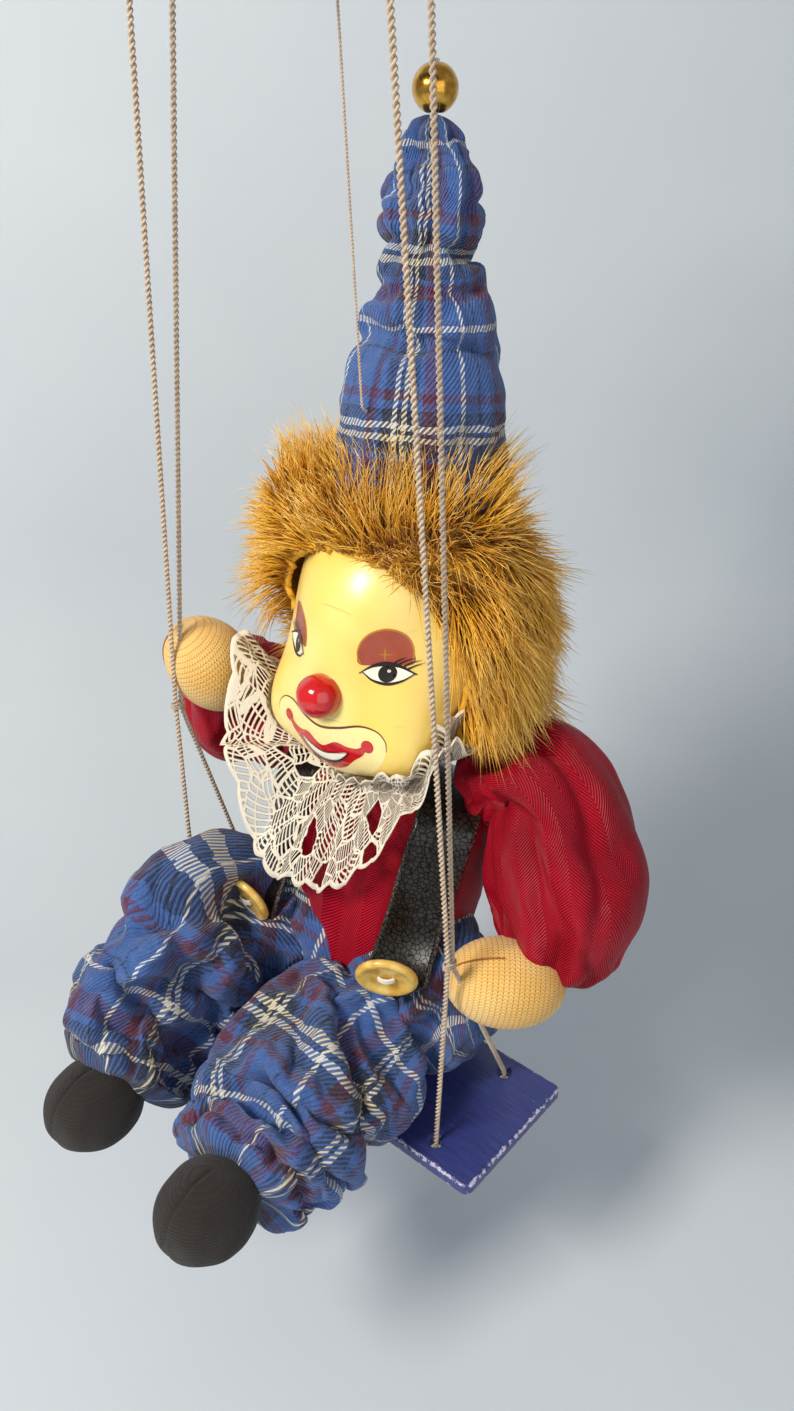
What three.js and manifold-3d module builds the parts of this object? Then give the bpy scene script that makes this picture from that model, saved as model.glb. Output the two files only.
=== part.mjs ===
// A clown doll sitting on a swing seat, hung on cords from a small wooden board, an eye and a ring.
// Millimetres, +Z up. The doll faces -Y and its left hand is at +X.
// Shapes are drawn from the centre of the seat's top face. The last lines move the origin to the
// point inside the ring where a hook carries the whole thing.
import * as THREE from 'three';
import { mergeVertices } from 'three/addons/utils/BufferGeometryUtils.js';
import Module from 'manifold-3d';

const wasm = await Module();
wasm.setup();

const point = (x, y, z) => new THREE.Vector3(x, y, z);
const sides = { left: 1, right: -1 };

// Gap left between pieces that touch, how close points are one point, and a length past everything
const gap = 0.3;
const weld = 0.002;
const far = 200;

// Facets of round bars and balls: [around] and [around, rows]
const fineBar = 24;
const barFacets = 16;
const slimBar = 12;
const ballFacets = [20, 14];
const coarseBall = [12, 8];

// Swing seat
const seatLength = 108;
const seatDepth = 38;
const seatThickness = 3.2;
const seatHoleDiameter = 3;
const seatHoleFromEnd = 13.3;
const seatHoleFromEdge = 5.5;
const boardCornerRadius = 2;
const boardEdgeRadius = 0.6;
const boardCornerFacets = 4;

// Hanger board, eye and ring above the doll
const hangerLength = 74;
const hangerDepth = 34;
const hangerThickness = 6;
const hangerHeight = 236;
const hangerForward = 4.4;
const hangerHoleDiameter = 2.8;
const cordHoleSpanX = 55.6;
const cordHoleSpanY = 9.8;
const cordHolesForward = 10.4;
const threadHole = { x: -3.9, y: 8.6 };
const eyeInnerDiameter = 7;
const eyeWireDiameter = 2;
const eyeCollarDiameter = 6;
const eyeCollarHeight = 1.2;
const eyeShankLength = 4;
const ringInnerDiameter = 16;
const ringWireDiameter = 2.2;

// Cords, head thread and their knots
const cordDiameter = 1.25;
const cordKnotDiameter = 4.4;
const threadDiameter = 0.6;
const threadKnotDiameter = 3.8;
const stitchHalfSpan = 41.6;
const stitchForward = 11.4;
const stitchHeight = { left: 52, right: 84.6 };
const stitchWire = 0.8;
const threadEnd = point(1.2, 8.4, 157.3);

// Stuffed trunk inside the shirt
const trunkPath = [point(0, 8, 12), point(0, 10, 32), point(0, 16, 54), point(0, 20, 73)];
const trunkHalfWidths = [[0, 20], [0.3, 26], [0.62, 28], [0.86, 29], [1, 24]];
const trunkHalfDepths = [[0, 15], [0.3, 17], [0.6, 18], [0.85, 17], [1, 13]];
const stuffingPath = [point(0, 8, 4), point(0, 9, 30), point(0, 16, 52), point(0, 20, 76)];
const stuffingHalfWidth = 18;
const stuffingHalfDepth = 12;

// How much of a stuffed form's length rounds off at its first and last end, and the power that makes
// its section squarer than an ellipse as it falls below 1
const trunkEnds = [0.2, 0.14];
const trunkSquareness = 0.85;
const stuffingEnds = [0.15, 0.1];
const hipsEnds = [0.3, 0.3];
const hipsSquareness = { depth: 0.75, height: 0.85 };
const trouserLegEnds = [0.1, 0.06];

// Neck: a ball end on the head turns in the top of the stuffed trunk
const neckPivot = point(0, 20, 64);
const neckDiameter = 12;
const neckBallDiameter = 16;
const neckBoreDiameter = 7;
const neckOpeningDiameter = 24;
const neckClothHeight = 2.8;
const neckClothThickness = 2.2;
const bindingWire = 1;
const neckIntoSkull = 3;

// Head
const headCentre = point(-1, 19, 107);
const headHalfWidth = 25.2;
const headHalfDepth = 21;
const headHalfHeight = 27;
const headWall = 1.8;
const noseDiameter = 10;
const noseCentre = point(0, -5.2, 98.8);

// Hat, a soft gathered cone with a bead on its tip
const hatBase = point(1.2, 26, 129);
const hatTip = point(0.6, 30.6, 207.5);
const hatRadii = [
  [0, 17.6], [0.09, 18.6], [0.29, 18.2], [0.5, 14.6], [0.65, 11.4], [0.71, 9.6], [0.77, 9.9], [0.86, 8],
  [0.91, 6.6], [1, 5.2],
];
const hatWall = 1.4;
const hatEnds = [0.015, 0.04];
const hatOpenBelow = 5;
const beadDiameter = 8.8;

// Wig, long pile brushed outwards round the face
const wigCentre = point(0, 22, 111);
const wigHalfWidth = 45;
const wigHalfDepth = 34;
const wigHalfHeight = 39;
const wigRoughness = 0.14;
const wigColumns = 24;
const wigRows = 14;
const wigThickness = 11;
const wigHang = 7;
const wigThinning = 0.3;
const wigTuft = { way: point(-0.62, -0.36, 0.7), width: 0.55, height: 9 };
const wigInsideFacets = [12, 9];
const faceWindow = { halfWidth: 25.5, top: 124.5, spring: 104, back: 15, flare: 0.022 };
const nape = { halfWidth: 22, front: 0, back: 36, top: 90 };

// Trousers
const hipsPath = [point(37, 8, 12), point(18, 8, 20), point(-14, 8, 25), point(-36, 6, 34)];
const hipsHalfHeights = [[0, 12], [0.3, 22], [0.7, 27], [1, 20]];
const hipsHalfDepths = [[0, 15], [0.3, 19], [0.7, 19], [1, 15]];
const hipFrontY = -10;
const trouserLegs = {
  left: {
    path: [point(17, -4, 16), point(15, -24, 14), point(15, -40, 9), point(17.5, -54, 6)],
    halfWidths: [[0, 16], [0.5, 18], [0.9, 15], [1, 16]],
    halfHeights: [[0, 15.6], [0.5, 20], [0.9, 19], [1, 20]],
    creaseHeight: 31.2,
  },
  right: {
    path: [point(-21.5, -4, 19), point(-23, -22, 30), point(-22.5, -38, 21), point(-20, -54, 11)],
    halfWidths: [[0, 14], [0.5, 15], [0.9, 13], [1, 14.5]],
    halfHeights: [[0, 16], [0.35, 25], [0.8, 20], [1, 17]],
    creaseHeight: 50.4,
  },
};
const legDiameter = 11;
const legLift = 25;
const liftSteps = 6;
const cuffRuffles = 8;
const cuffRuffleDepth = 0.06;
const cuffRufflesFrom = 0.7;

// Shoes, stuffed jersey with a steel ball in each
const shoeHalfWidth = 10.4;
const shoeHalfLength = 11.4;
const shoeHalfHeight = 10.2;
const shoeCentre = { left: point(20.5, -63.5, 9.8), right: point(-19.5, -62.5, 10.6) };
const shoeWeightDiameter = 15.65;
const shoeOpeningDiameter = 6;
const shoeSwing = 12;
const shoeFacets = [16, 10];

// Arms inside the sleeves
const armDiameter = 10;
const handDiameter = 20;
const handLength = 27;
const handCentre = { left: point(46.4, 2.6, 40.4), right: point(-40.6, -1.2, 92) };
const handAxis = { left: point(0.74, 0.64, -0.12), right: point(0.15, 0.5, -0.85) };
const armPath = {
  left: [point(51, 13, 44), point(48, 20, 58), point(38, 24, 71), point(20, 22, 67)],
  right: [point(-42, 10, 80), point(-38, 17, 71), point(-30, 20, 66), point(-20, 20, 61)],
};
const sleevePath = {
  left: [point(22, 23, 70), point(40, 26.5, 77), point(50, 21.5, 54), point(51, 12.5, 36.5)],
  right: [point(-18, 20, 62), point(-34, 22, 67), point(-42.5, 15, 73), point(-43, 8, 91)],
};
const sleeveRadii = {
  left: [[0, 10], [0.3, 16], [0.64, 19.5], [0.9, 17], [1, 9]],
  right: [[0, 11], [0.35, 16], [0.65, 17], [0.88, 13.5], [1, 9]],
};
const sleeveWall = 1.5;
const sleeveEnd = 0.06;
const sleevePleats = 7;
const sleevePleatDepth = 0.07;
const sleevePleatsFrom = 0.5;
const handFacets = [12, 8];
const armEnd = 0.05;

// Straps, buttons and the lace collar
const strapWidth = 14;
const strapThickness = 0.9;
const strapTipZ = 31;
const strapSquareZ = 36;
const strapShoulderZ = 78;
const strapLine = {
  left: { low: 16.5, high: 27.6, facing: 32 },
  right: { low: 17.8, high: 18.2, facing: 0 },
};
const buttonDiameter = 13.8;
const buttonThickness = 2.2;
const buttonCentre = { left: point(28.6, -16.6, 44.5), right: point(-17.8, -14.9, 41) };
const buttonFacing = { left: point(0.5, -0.8, -0.33), right: point(0, -0.956, -0.29) };
const collarThickness = 0.9;
const collarInside = 10;
const collarHeight = 77.8;
const collarWave = 1.7;
const collarWaves = 12;
const collarSteps = 4;
const collarDroop = 1.6;
const collarEdge = [
  [-180, 22, 72], [-135, 22, 73], [-105, 25, 80], [-78, 30, 93], [-54, 37, 102], [-38, 41, 80], [-20, 37, 58],
  [0, 33, 50], [25, 30, 58], [50, 27, 74], [75, 23, 86], [105, 21, 83], [180, 22, 72],
];

// Materials, one for each kind of surface
const material = (color, roughness, metalness = 0) =>
  new THREE.MeshStandardMaterial({ color, roughness, metalness });
const violetPaint = material(0x34388f, 0.55);
const steel = material(0xb9bcc2, 0.3, 1);
const cordWhite = material(0xcbb9a8, 0.8);
const creamJersey = material(0xe2bf7c, 0.9);
const crimson = material(0x9c1422, 0.7);
const bluePlaid = material(0x3a5288, 0.9);
const blackLeather = material(0x25211f, 0.6);
const blackJersey = material(0x231f1e, 0.95);
const laceWhite = material(0xd9d0c0, 0.9);
const faceYellow = material(0xf2df9a, 0.25);
const goldenFur = material(0xa8701f, 0.9);
const gold = material(0xd7a63c, 0.25, 1);
const buttonCream = material(0xe0b04a, 0.4);
const cottonWhite = material(0xd8cdb8, 0.95);

// Closed meshes to solids and back
function merged(geometry) {
  const bare = geometry.clone();
  bare.deleteAttribute('normal');
  bare.deleteAttribute('uv');
  return mergeVertices(bare, 1e-4);
}

function solidOf(geometry) {
  const { attributes, index } = merged(geometry);
  return new wasm.Manifold(new wasm.Mesh({
    numProp: 3,
    vertProperties: new Float32Array(attributes.position.array),
    triVerts: new Uint32Array(index.array),
  }));
}

// The largest body of a solid, with points closer than the tolerance made one
function geometryOf(solid) {
  const mesh = solid.getMesh();
  const bare = new THREE.BufferGeometry();
  bare.setAttribute('position', new THREE.BufferAttribute(new Float32Array(mesh.vertProperties), 3));
  bare.setIndex(new THREE.BufferAttribute(new Uint32Array(mesh.triVerts), 1));
  const { attributes, index } = mergeVertices(bare, weld);
  const triangles = [];
  for (let i = 0; i < index.count; i += 3) {
    const triangle = [index.getX(i), index.getX(i + 1), index.getX(i + 2)];
    if (new Set(triangle).size === 3) triangles.push(triangle);
  }
  const parent = Array.from({ length: attributes.position.count }, (_, i) => i);
  const find = (i) => {
    let place = i;
    while (parent[place] !== place) place = parent[place];
    return place;
  };
  for (const [a, b, c] of triangles) {
    parent[find(b)] = find(a);
    parent[find(c)] = find(a);
  }
  const sizes = new Map();
  for (const [a] of triangles) sizes.set(find(a), (sizes.get(find(a)) || 0) + 1);
  const [largest] = [...sizes].sort((first, second) => second[1] - first[1])[0];
  const geometry = new THREE.BufferGeometry();
  geometry.setAttribute('position', attributes.position);
  geometry.setIndex(triangles.filter(([a]) => find(a) === largest).flat());
  geometry.computeVertexNormals();
  return geometry;
}

const cut = (solid, ...tools) => tools.reduce((left, tool) => left.subtract(tool), solid);
const join = (solid, ...others) => others.reduce((sum, other) => sum.add(other), solid);

// The same closed mesh with every point moved out along its normal
function grown(geometry, amount) {
  const result = merged(geometry);
  result.computeVertexNormals();
  const { position, normal } = result.attributes;
  for (let i = 0; i < position.count; i += 1) {
    const place = point(0, 0, 0).fromBufferAttribute(position, i);
    place.addScaledVector(point(0, 0, 0).fromBufferAttribute(normal, i), amount);
    position.setXYZ(i, ...place);
  }
  return result;
}

// Pleats and ruffles reach their full depth at this share of a sleeve's or trouser leg's length
const gatherFull = 0.95;

// A smooth value along 0..1 through [place, value] pairs
const profile = (pairs) => (t) => {
  let k = 0;
  while (k < pairs.length - 2 && t > pairs[k + 1][0]) k += 1;
  const [[from, low], [to, high]] = [pairs[k], pairs[k + 1]];
  return low + (high - low) * THREE.MathUtils.smoothstep(t, from, to);
};

// 0 at both ends, 1 between, round like a quarter circle over each end's share
const roundEnds = (t, start, finish) => {
  const quarter = (s) => Math.sqrt(Math.max(0, 1 - (1 - Math.min(1, s)) ** 2));
  return quarter(t / start) * quarter((1 - t) / finish);
};

// Rings joined into one closed mesh, each end drawn to a point
function skin(rings, first, last) {
  const count = rings[0].length;
  const positions = [first, ...rings.flat(), last].flatMap((p) => [p.x, p.y, p.z]);
  const at = (i, j) => 1 + i * count + (j % count);
  const end = 1 + rings.length * count;
  const index = [];
  for (let j = 0; j < count; j += 1) {
    index.push(0, at(0, j), at(0, j + 1));
    index.push(end, at(rings.length - 1, j + 1), at(rings.length - 1, j));
    for (let i = 0; i < rings.length - 1; i += 1) {
      index.push(at(i, j), at(i + 1, j + 1), at(i, j + 1), at(i, j), at(i + 1, j), at(i + 1, j + 1));
    }
  }
  const geometry = new THREE.BufferGeometry();
  geometry.setAttribute('position', new THREE.Float32BufferAttribute(positions, 3));
  geometry.setIndex(index);
  return geometry;
}

// A ring's frame at one place along a curve: its centre, and two directions across
function frameAt(curve, t, across) {
  const along = curve.getTangent(t);
  const over = point(0, 0, 0).crossVectors(across, along).normalize();
  const side = point(0, 0, 0).crossVectors(along, over).normalize();
  return { centre: curve.getPoint(t), side, over };
}

// A soft form swept along a curve, section(t, angle) giving a point across it
function sweptForm({ path, section, rings, around, across }) {
  const curve = new THREE.CatmullRomCurve3(path);
  const list = [];
  for (let i = 1; i < rings; i += 1) {
    const t = (1 - Math.cos((Math.PI * i) / rings)) / 2;
    const { centre, side, over } = frameAt(curve, t, across);
    list.push(Array.from({ length: around }, (_, j) => {
      const [x, y] = section(t, (2 * Math.PI * j) / around);
      return centre.clone().addScaledVector(side, x).addScaledVector(over, y);
    }));
  }
  return skin(list, curve.getPoint(0), curve.getPoint(1));
}

// A straight-sided tube through stations of [place, radius]
function beadedTube(stations, around) {
  const rings = stations.map(([place, radius], i) => {
    const before = stations[Math.max(0, i - 1)][0];
    const after = stations[Math.min(stations.length - 1, i + 1)][0];
    const along = after.clone().sub(before).normalize();
    const over = point(0, 0, 0).crossVectors(point(1, 0, 0), along).normalize();
    const side = point(0, 0, 0).crossVectors(along, over);
    return Array.from({ length: around }, (_, j) => {
      const angle = (2 * Math.PI * j) / around;
      return place.clone()
        .addScaledVector(side, radius * Math.cos(angle))
        .addScaledVector(over, radius * Math.sin(angle));
    });
  });
  return skin(rings, stations[0][0], stations[stations.length - 1][0]);
}

// Round bars, boxes and balls between given places
function rod(from, to, radius, around = barFacets) {
  const axis = to.clone().sub(from);
  const middle = from.clone().add(to).multiplyScalar(0.5);
  const turn = new THREE.Quaternion().setFromUnitVectors(point(0, 1, 0), axis.clone().normalize());
  const upright = new THREE.CylinderGeometry(radius, radius, axis.length(), around);
  return upright.applyQuaternion(turn).translate(...middle);
}

function block(low, high) {
  const size = high.clone().sub(low);
  const middle = low.clone().add(high).multiplyScalar(0.5);
  return new THREE.BoxGeometry(...size).translate(...middle);
}

function ball(centre, halfX, halfY, halfZ, around, rows) {
  const unit = new THREE.SphereGeometry(1, around, rows).rotateX(Math.PI / 2);
  return unit.scale(halfX, halfY, halfZ).translate(...centre);
}

// A ball of one radius
const round = (centre, radius, facets = ballFacets) => ball(centre, radius, radius, radius, ...facets);

// The solids of one shape turned about a sideways line through a place
const turned = (geometry, place, angles) => angles.map((degrees) => {
  const copy = geometry.clone().translate(...place.clone().negate());
  return solidOf(copy.rotateX(THREE.MathUtils.degToRad(degrees)).translate(...place));
});

// Groups that move together
const ringGroup = new THREE.Group();
const swing = new THREE.Group();
const figure = new THREE.Group();
figure.add(ringGroup, swing);

function add(name, geometry, surface, parent = swing) {
  const mesh = new THREE.Mesh(geometry, surface);
  mesh.name = name;
  parent.add(mesh);
  return mesh;
}

// A board with rounded corners, softened edges and round holes, its underside at 0
function plank(length, depth, thickness, holes, holeDiameter) {
  const [x, y, r] = [length / 2, depth / 2, boardCornerRadius];
  const outline = new THREE.Shape();
  outline.absarc(x - r, r - y, r, -Math.PI / 2, 0);
  outline.absarc(x - r, y - r, r, 0, Math.PI / 2);
  outline.absarc(r - x, y - r, r, Math.PI / 2, Math.PI);
  outline.absarc(r - x, r - y, r, Math.PI, 1.5 * Math.PI);
  for (const hole of holes) {
    outline.holes.push(new THREE.Path().absarc(hole.x, hole.y, holeDiameter / 2, 0, 2 * Math.PI, true));
  }
  return new THREE.ExtrudeGeometry(outline, {
    depth: thickness - 2 * boardEdgeRadius,
    curveSegments: boardCornerFacets,
    bevelSize: boardEdgeRadius,
    bevelThickness: boardEdgeRadius,
    bevelOffset: -boardEdgeRadius,
    bevelSegments: 1,
  }).translate(0, 0, boardEdgeRadius);
}

const corners = [-1, 1].flatMap((x) => [-1, 1].map((y) => ({ x, y })));
const seatHoleX = seatLength / 2 - seatHoleFromEnd;
const seatHoleY = seatDepth / 2 - seatHoleFromEdge;
const seatHoles = corners.map(({ x, y }) => ({ x: x * seatHoleX, y: y * seatHoleY }));
add('swing_seat', plank(seatLength, seatDepth, seatThickness, seatHoles, seatHoleDiameter), violetPaint)
  .position.set(0, 0, -seatThickness);

const hangerHoles = corners.map(({ x, y }) => ({
  x: (x * cordHoleSpanX) / 2,
  y: hangerForward - cordHolesForward + (y * cordHoleSpanY) / 2,
}));
hangerHoles.push({ x: threadHole.x, y: threadHole.y + hangerForward }, { x: 0, y: 0 });
const hanger = plank(hangerLength, hangerDepth, hangerThickness, hangerHoles, hangerHoleDiameter);
add('hanger_board', hanger, violetPaint)
  .position.set(0, -hangerForward, hangerHeight);

// Eye screwed into the board, and the ring that it hangs in
const hangerTop = hangerHeight + hangerThickness;
const eyeSeat = hangerTop + gap;
const eyeRadius = (eyeInnerDiameter + eyeWireDiameter) / 2;
const eyeCentre = eyeSeat + eyeCollarHeight + eyeRadius;
const eyeLoop = new THREE.TorusGeometry(eyeRadius, eyeWireDiameter / 2, 8, 20).rotateY(Math.PI / 2);
const eye = join(
  solidOf(eyeLoop.translate(0, 0, eyeCentre)),
  solidOf(rod(point(0, 0, eyeSeat), point(0, 0, eyeSeat + eyeCollarHeight), eyeCollarDiameter / 2)),
  solidOf(rod(
    point(0, 0, hangerTop - eyeShankLength),
    point(0, 0, eyeSeat + eyeCollarHeight),
    eyeWireDiameter / 2,
    slimBar,
  )),
);
add('eye_screw', geometryOf(eye), steel).position.set(0, -hangerForward, 0);

const ringRadius = (ringInnerDiameter + ringWireDiameter) / 2;
const ringLow = eyeCentre + eyeInnerDiameter / 2 - gap - ringWireDiameter / 2;
const hangPoint = point(0, -hangerForward, ringLow + 2 * ringRadius - ringWireDiameter / 2);
const hoop = new THREE.TorusGeometry(ringRadius, ringWireDiameter / 2, 8, 26).rotateX(Math.PI / 2);
add('hanging_ring', hoop, steel, ringGroup)
  .position.set(0, -hangerForward, ringLow + ringRadius);

// A knot as five stations down its height, and cords from knot to knot
function knot(centre, diameter, thread) {
  return [0.92, 0.55, 0, -0.55, -0.92].map((share) => [
    centre.clone().add(point(0, 0, (share * diameter) / 2)),
    Math.max(thread / 2, (diameter / 2) * Math.sqrt(1 - share * share)),
  ]);
}

const cordSpacing = cordDiameter + gap;
const cordSpaces = { left: [], right: [] };
for (const [side, sign] of Object.entries(sides)) {
  for (const [end, way] of [['front', -1], ['back', 1]]) {
    const top = point((sign * cordHoleSpanX) / 2, (way * cordHoleSpanY) / 2 - cordHolesForward, 0);
    const low = point(sign * seatHoleX, way * seatHoleY, 0);
    const stitch = point(sign * stitchHalfSpan, (way * cordSpacing) / 2 - stitchForward, stitchHeight[side]);
    const above = (place, height) => place.clone().add(point(0, 0, height));
    const stations = [
      ...knot(above(top, hangerTop + gap + cordKnotDiameter / 2), cordKnotDiameter, cordDiameter),
      [above(top, hangerHeight - gap), cordDiameter / 2],
      [above(stitch, stitchWire), cordDiameter / 2],
      [above(stitch, -stitchWire), cordDiameter / 2],
      [above(low, gap), cordDiameter / 2],
      ...knot(above(low, -seatThickness - gap - cordKnotDiameter / 2), cordKnotDiameter, cordDiameter),
    ];
    const cord = beadedTube(stations, 8);
    add(`cord_${end}_${side}`, cord, cordWhite);
    cordSpaces[side].push(solidOf(grown(cord, gap)));
  }
  const reach = cordSpacing / 2 + cordDiameter / 2 + gap + stitchWire / 2;
  const loop = new THREE.TorusGeometry(reach, stitchWire / 2, 6, 14);
  loop.scale((cordDiameter / 2 + gap + stitchWire / 2) / reach, 1, 1);
  loop.translate(sign * stitchHalfSpan, -stitchForward, stitchHeight[side]);
  add(`hand_stitch_${side}`, loop, cordWhite);
  cordSpaces[side].push(solidOf(grown(loop, gap)));
}

// Trunk: stuffing inside, shirt outside
const squared = (value, power) => Math.sign(value) * Math.abs(value) ** power;
const trunkWidth = profile(trunkHalfWidths);
const trunkDepth = profile(trunkHalfDepths);
const trunkSection = (t, angle) => [
  trunkWidth(t) * roundEnds(t, ...trunkEnds) * squared(Math.cos(angle), trunkSquareness),
  trunkDepth(t) * roundEnds(t, ...trunkEnds) * squared(Math.sin(angle), trunkSquareness),
];
const trunkForm = sweptForm({
  path: trunkPath,
  section: trunkSection,
  rings: 13,
  around: 20,
  across: point(1, 0, 0),
});
const stuffingForm = sweptForm({
  path: stuffingPath,
  section: (t, angle) => [
    stuffingHalfWidth * roundEnds(t, ...stuffingEnds) * Math.cos(angle),
    stuffingHalfDepth * roundEnds(t, ...stuffingEnds) * Math.sin(angle),
  ],
  rings: 9,
  around: 14,
  across: point(1, 0, 0),
});
const aboveNeck = block(point(-far, -far, neckPivot.z), point(far, far, far));
const neckBall = round(neckPivot, neckBallDiameter / 2);
const neckPocket = round(neckPivot, neckBallDiameter / 2 + gap);
const stuffing = cut(solidOf(stuffingForm), solidOf(aboveNeck), solidOf(neckPocket));
add('body_stuffing', geometryOf(stuffing), cottonWhite);

const neckOpening = rod(neckPivot, neckPivot.clone().setZ(far), neckOpeningDiameter / 2, fineBar);
const shirt = cut(solidOf(trunkForm), solidOf(grown(stuffingForm, gap)), solidOf(neckOpening));
add('shirt', geometryOf(shirt), crimson);

// Trouser hips, flat on the seat and at the front where the legs fold
const hipsHeight = profile(hipsHalfHeights);
const hipsDepth = profile(hipsHalfDepths);
const hipsForm = sweptForm({
  path: hipsPath,
  section: (t, angle) => [
    hipsDepth(t) * roundEnds(t, ...hipsEnds) * squared(Math.cos(angle), hipsSquareness.depth),
    hipsHeight(t) * roundEnds(t, ...hipsEnds) * squared(Math.sin(angle), hipsSquareness.height),
  ],
  rings: 13,
  around: 16,
  across: point(0, 1, 0),
});
const belowSeatTop = block(point(-far, -far, -far), point(far, far, gap));
const beforeHips = block(point(-far, -far, -far), point(far, hipFrontY, far));
const hips = cut(
  solidOf(hipsForm),
  solidOf(belowSeatTop),
  solidOf(beforeHips),
  solidOf(grown(trunkForm, gap)),
  solidOf(grown(stuffingForm, gap)),
);
add('trouser_hips', geometryOf(hips), bluePlaid);

// Straps over the shirt and the trouser waist, from front to back
const clothing = (amount) => join(solidOf(grown(trunkForm, amount)), solidOf(grown(hipsForm, amount)));
const strapShell = clothing(gap + strapThickness).subtract(clothing(gap));
const clothingSpace = clothing(2 * gap + strapThickness);
const strapSpaces = [];
for (const [side, sign] of Object.entries(sides)) {
  const { low, high, facing } = strapLine[side];
  const ribbon = (extra) => {
    const half = strapWidth / 2 + extra;
    const outline = [
      [low, strapTipZ - extra],
      [low + half, strapSquareZ - extra],
      [high + half, strapShoulderZ],
      [high + half, far],
      [high - half, far],
      [high - half, strapShoulderZ],
      [low - half, strapSquareZ - extra],
    ].map(([x, z]) => new THREE.Vector2(sign * x, z));
    const form = new THREE.ExtrudeGeometry(new THREE.Shape(outline), { depth: 2 * far, bevelEnabled: false });
    form.rotateX(Math.PI / 2).translate(0, far, 0);
    return solidOf(form.rotateZ(sign * THREE.MathUtils.degToRad(facing)));
  };
  const strap = cut(strapShell.intersect(ribbon(0)), solidOf(neckOpening));
  add(`strap_${side}`, geometryOf(strap), blackLeather);
  strapSpaces.push(clothingSpace.intersect(ribbon(gap)));
}

// Buttons at the lower ends of the straps
function buttonForm(side, extra) {
  const radius = buttonDiameter / 2 + extra;
  const facing = buttonFacing[side].clone().normalize();
  const turn = new THREE.Quaternion().setFromUnitVectors(point(0, 1, 0), facing);
  return new THREE.CylinderGeometry(radius, radius, buttonThickness + 2 * extra, 20)
    .applyQuaternion(turn)
    .translate(...buttonCentre[side]);
}
for (const side of Object.keys(sides)) add(`button_${side}`, buttonForm(side, 0), buttonCream);

// Arms and sleeves
const sleeveSpaces = [];
for (const side of Object.keys(sides)) {
  const circle = (radius) => (t, angle) => [radius(t) * Math.cos(angle), radius(t) * Math.sin(angle)];
  const axis = handAxis[side].clone().normalize().multiplyScalar(handLength / 2);
  const hand = sweptForm({
    path: [handCentre[side].clone().sub(axis), handCentre[side], handCentre[side].clone().add(axis)],
    section: circle((t) => (handDiameter / 2) * roundEnds(t, 0.5, 0.5)),
    rings: handFacets[1],
    around: handFacets[0],
    across: point(1, 0, 0),
  });
  const arm = sweptForm({
    path: [handCentre[side], ...armPath[side]],
    section: circle((t) => (armDiameter / 2) * roundEnds(t, armEnd, armEnd)),
    rings: 9,
    around: 8,
    across: point(0, 1, 0),
  });
  const armSolid = cut(join(solidOf(hand), solidOf(arm)), clothingSpace, ...cordSpaces[side]);
  add(`arm_${side}`, geometryOf(armSolid), creamJersey);

  const radius = profile(sleeveRadii[side]);
  const sleeveForm = (wall) => sweptForm({
    path: sleevePath[side],
    section: (t, angle) => {
      const gather = THREE.MathUtils.smoothstep(t, sleevePleatsFrom, gatherFull);
      const pleat = 1 + sleevePleatDepth * Math.cos(sleevePleats * angle) * gather;
      const end = wall ? 2 * sleeveEnd : sleeveEnd;
      const r = (radius(t) * pleat - wall) * roundEnds(t, end, end);
      return [r * Math.cos(angle), r * Math.sin(angle)];
    },
    rings: 11,
    around: 14,
    across: point(0, 1, 0),
  });
  const sleeve = cut(
    solidOf(sleeveForm(0)),
    solidOf(sleeveForm(sleeveWall)),
    solidOf(grown(hand, gap)),
    solidOf(grown(arm, gap)),
    clothingSpace,
    ...cordSpaces[side],
  );
  add(`sleeve_${side}`, geometryOf(sleeve), crimson);
  sleeveSpaces.push(solidOf(grown(sleeveForm(0), gap)), solidOf(grown(hand, gap)), solidOf(grown(arm, gap)));
}

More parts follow.
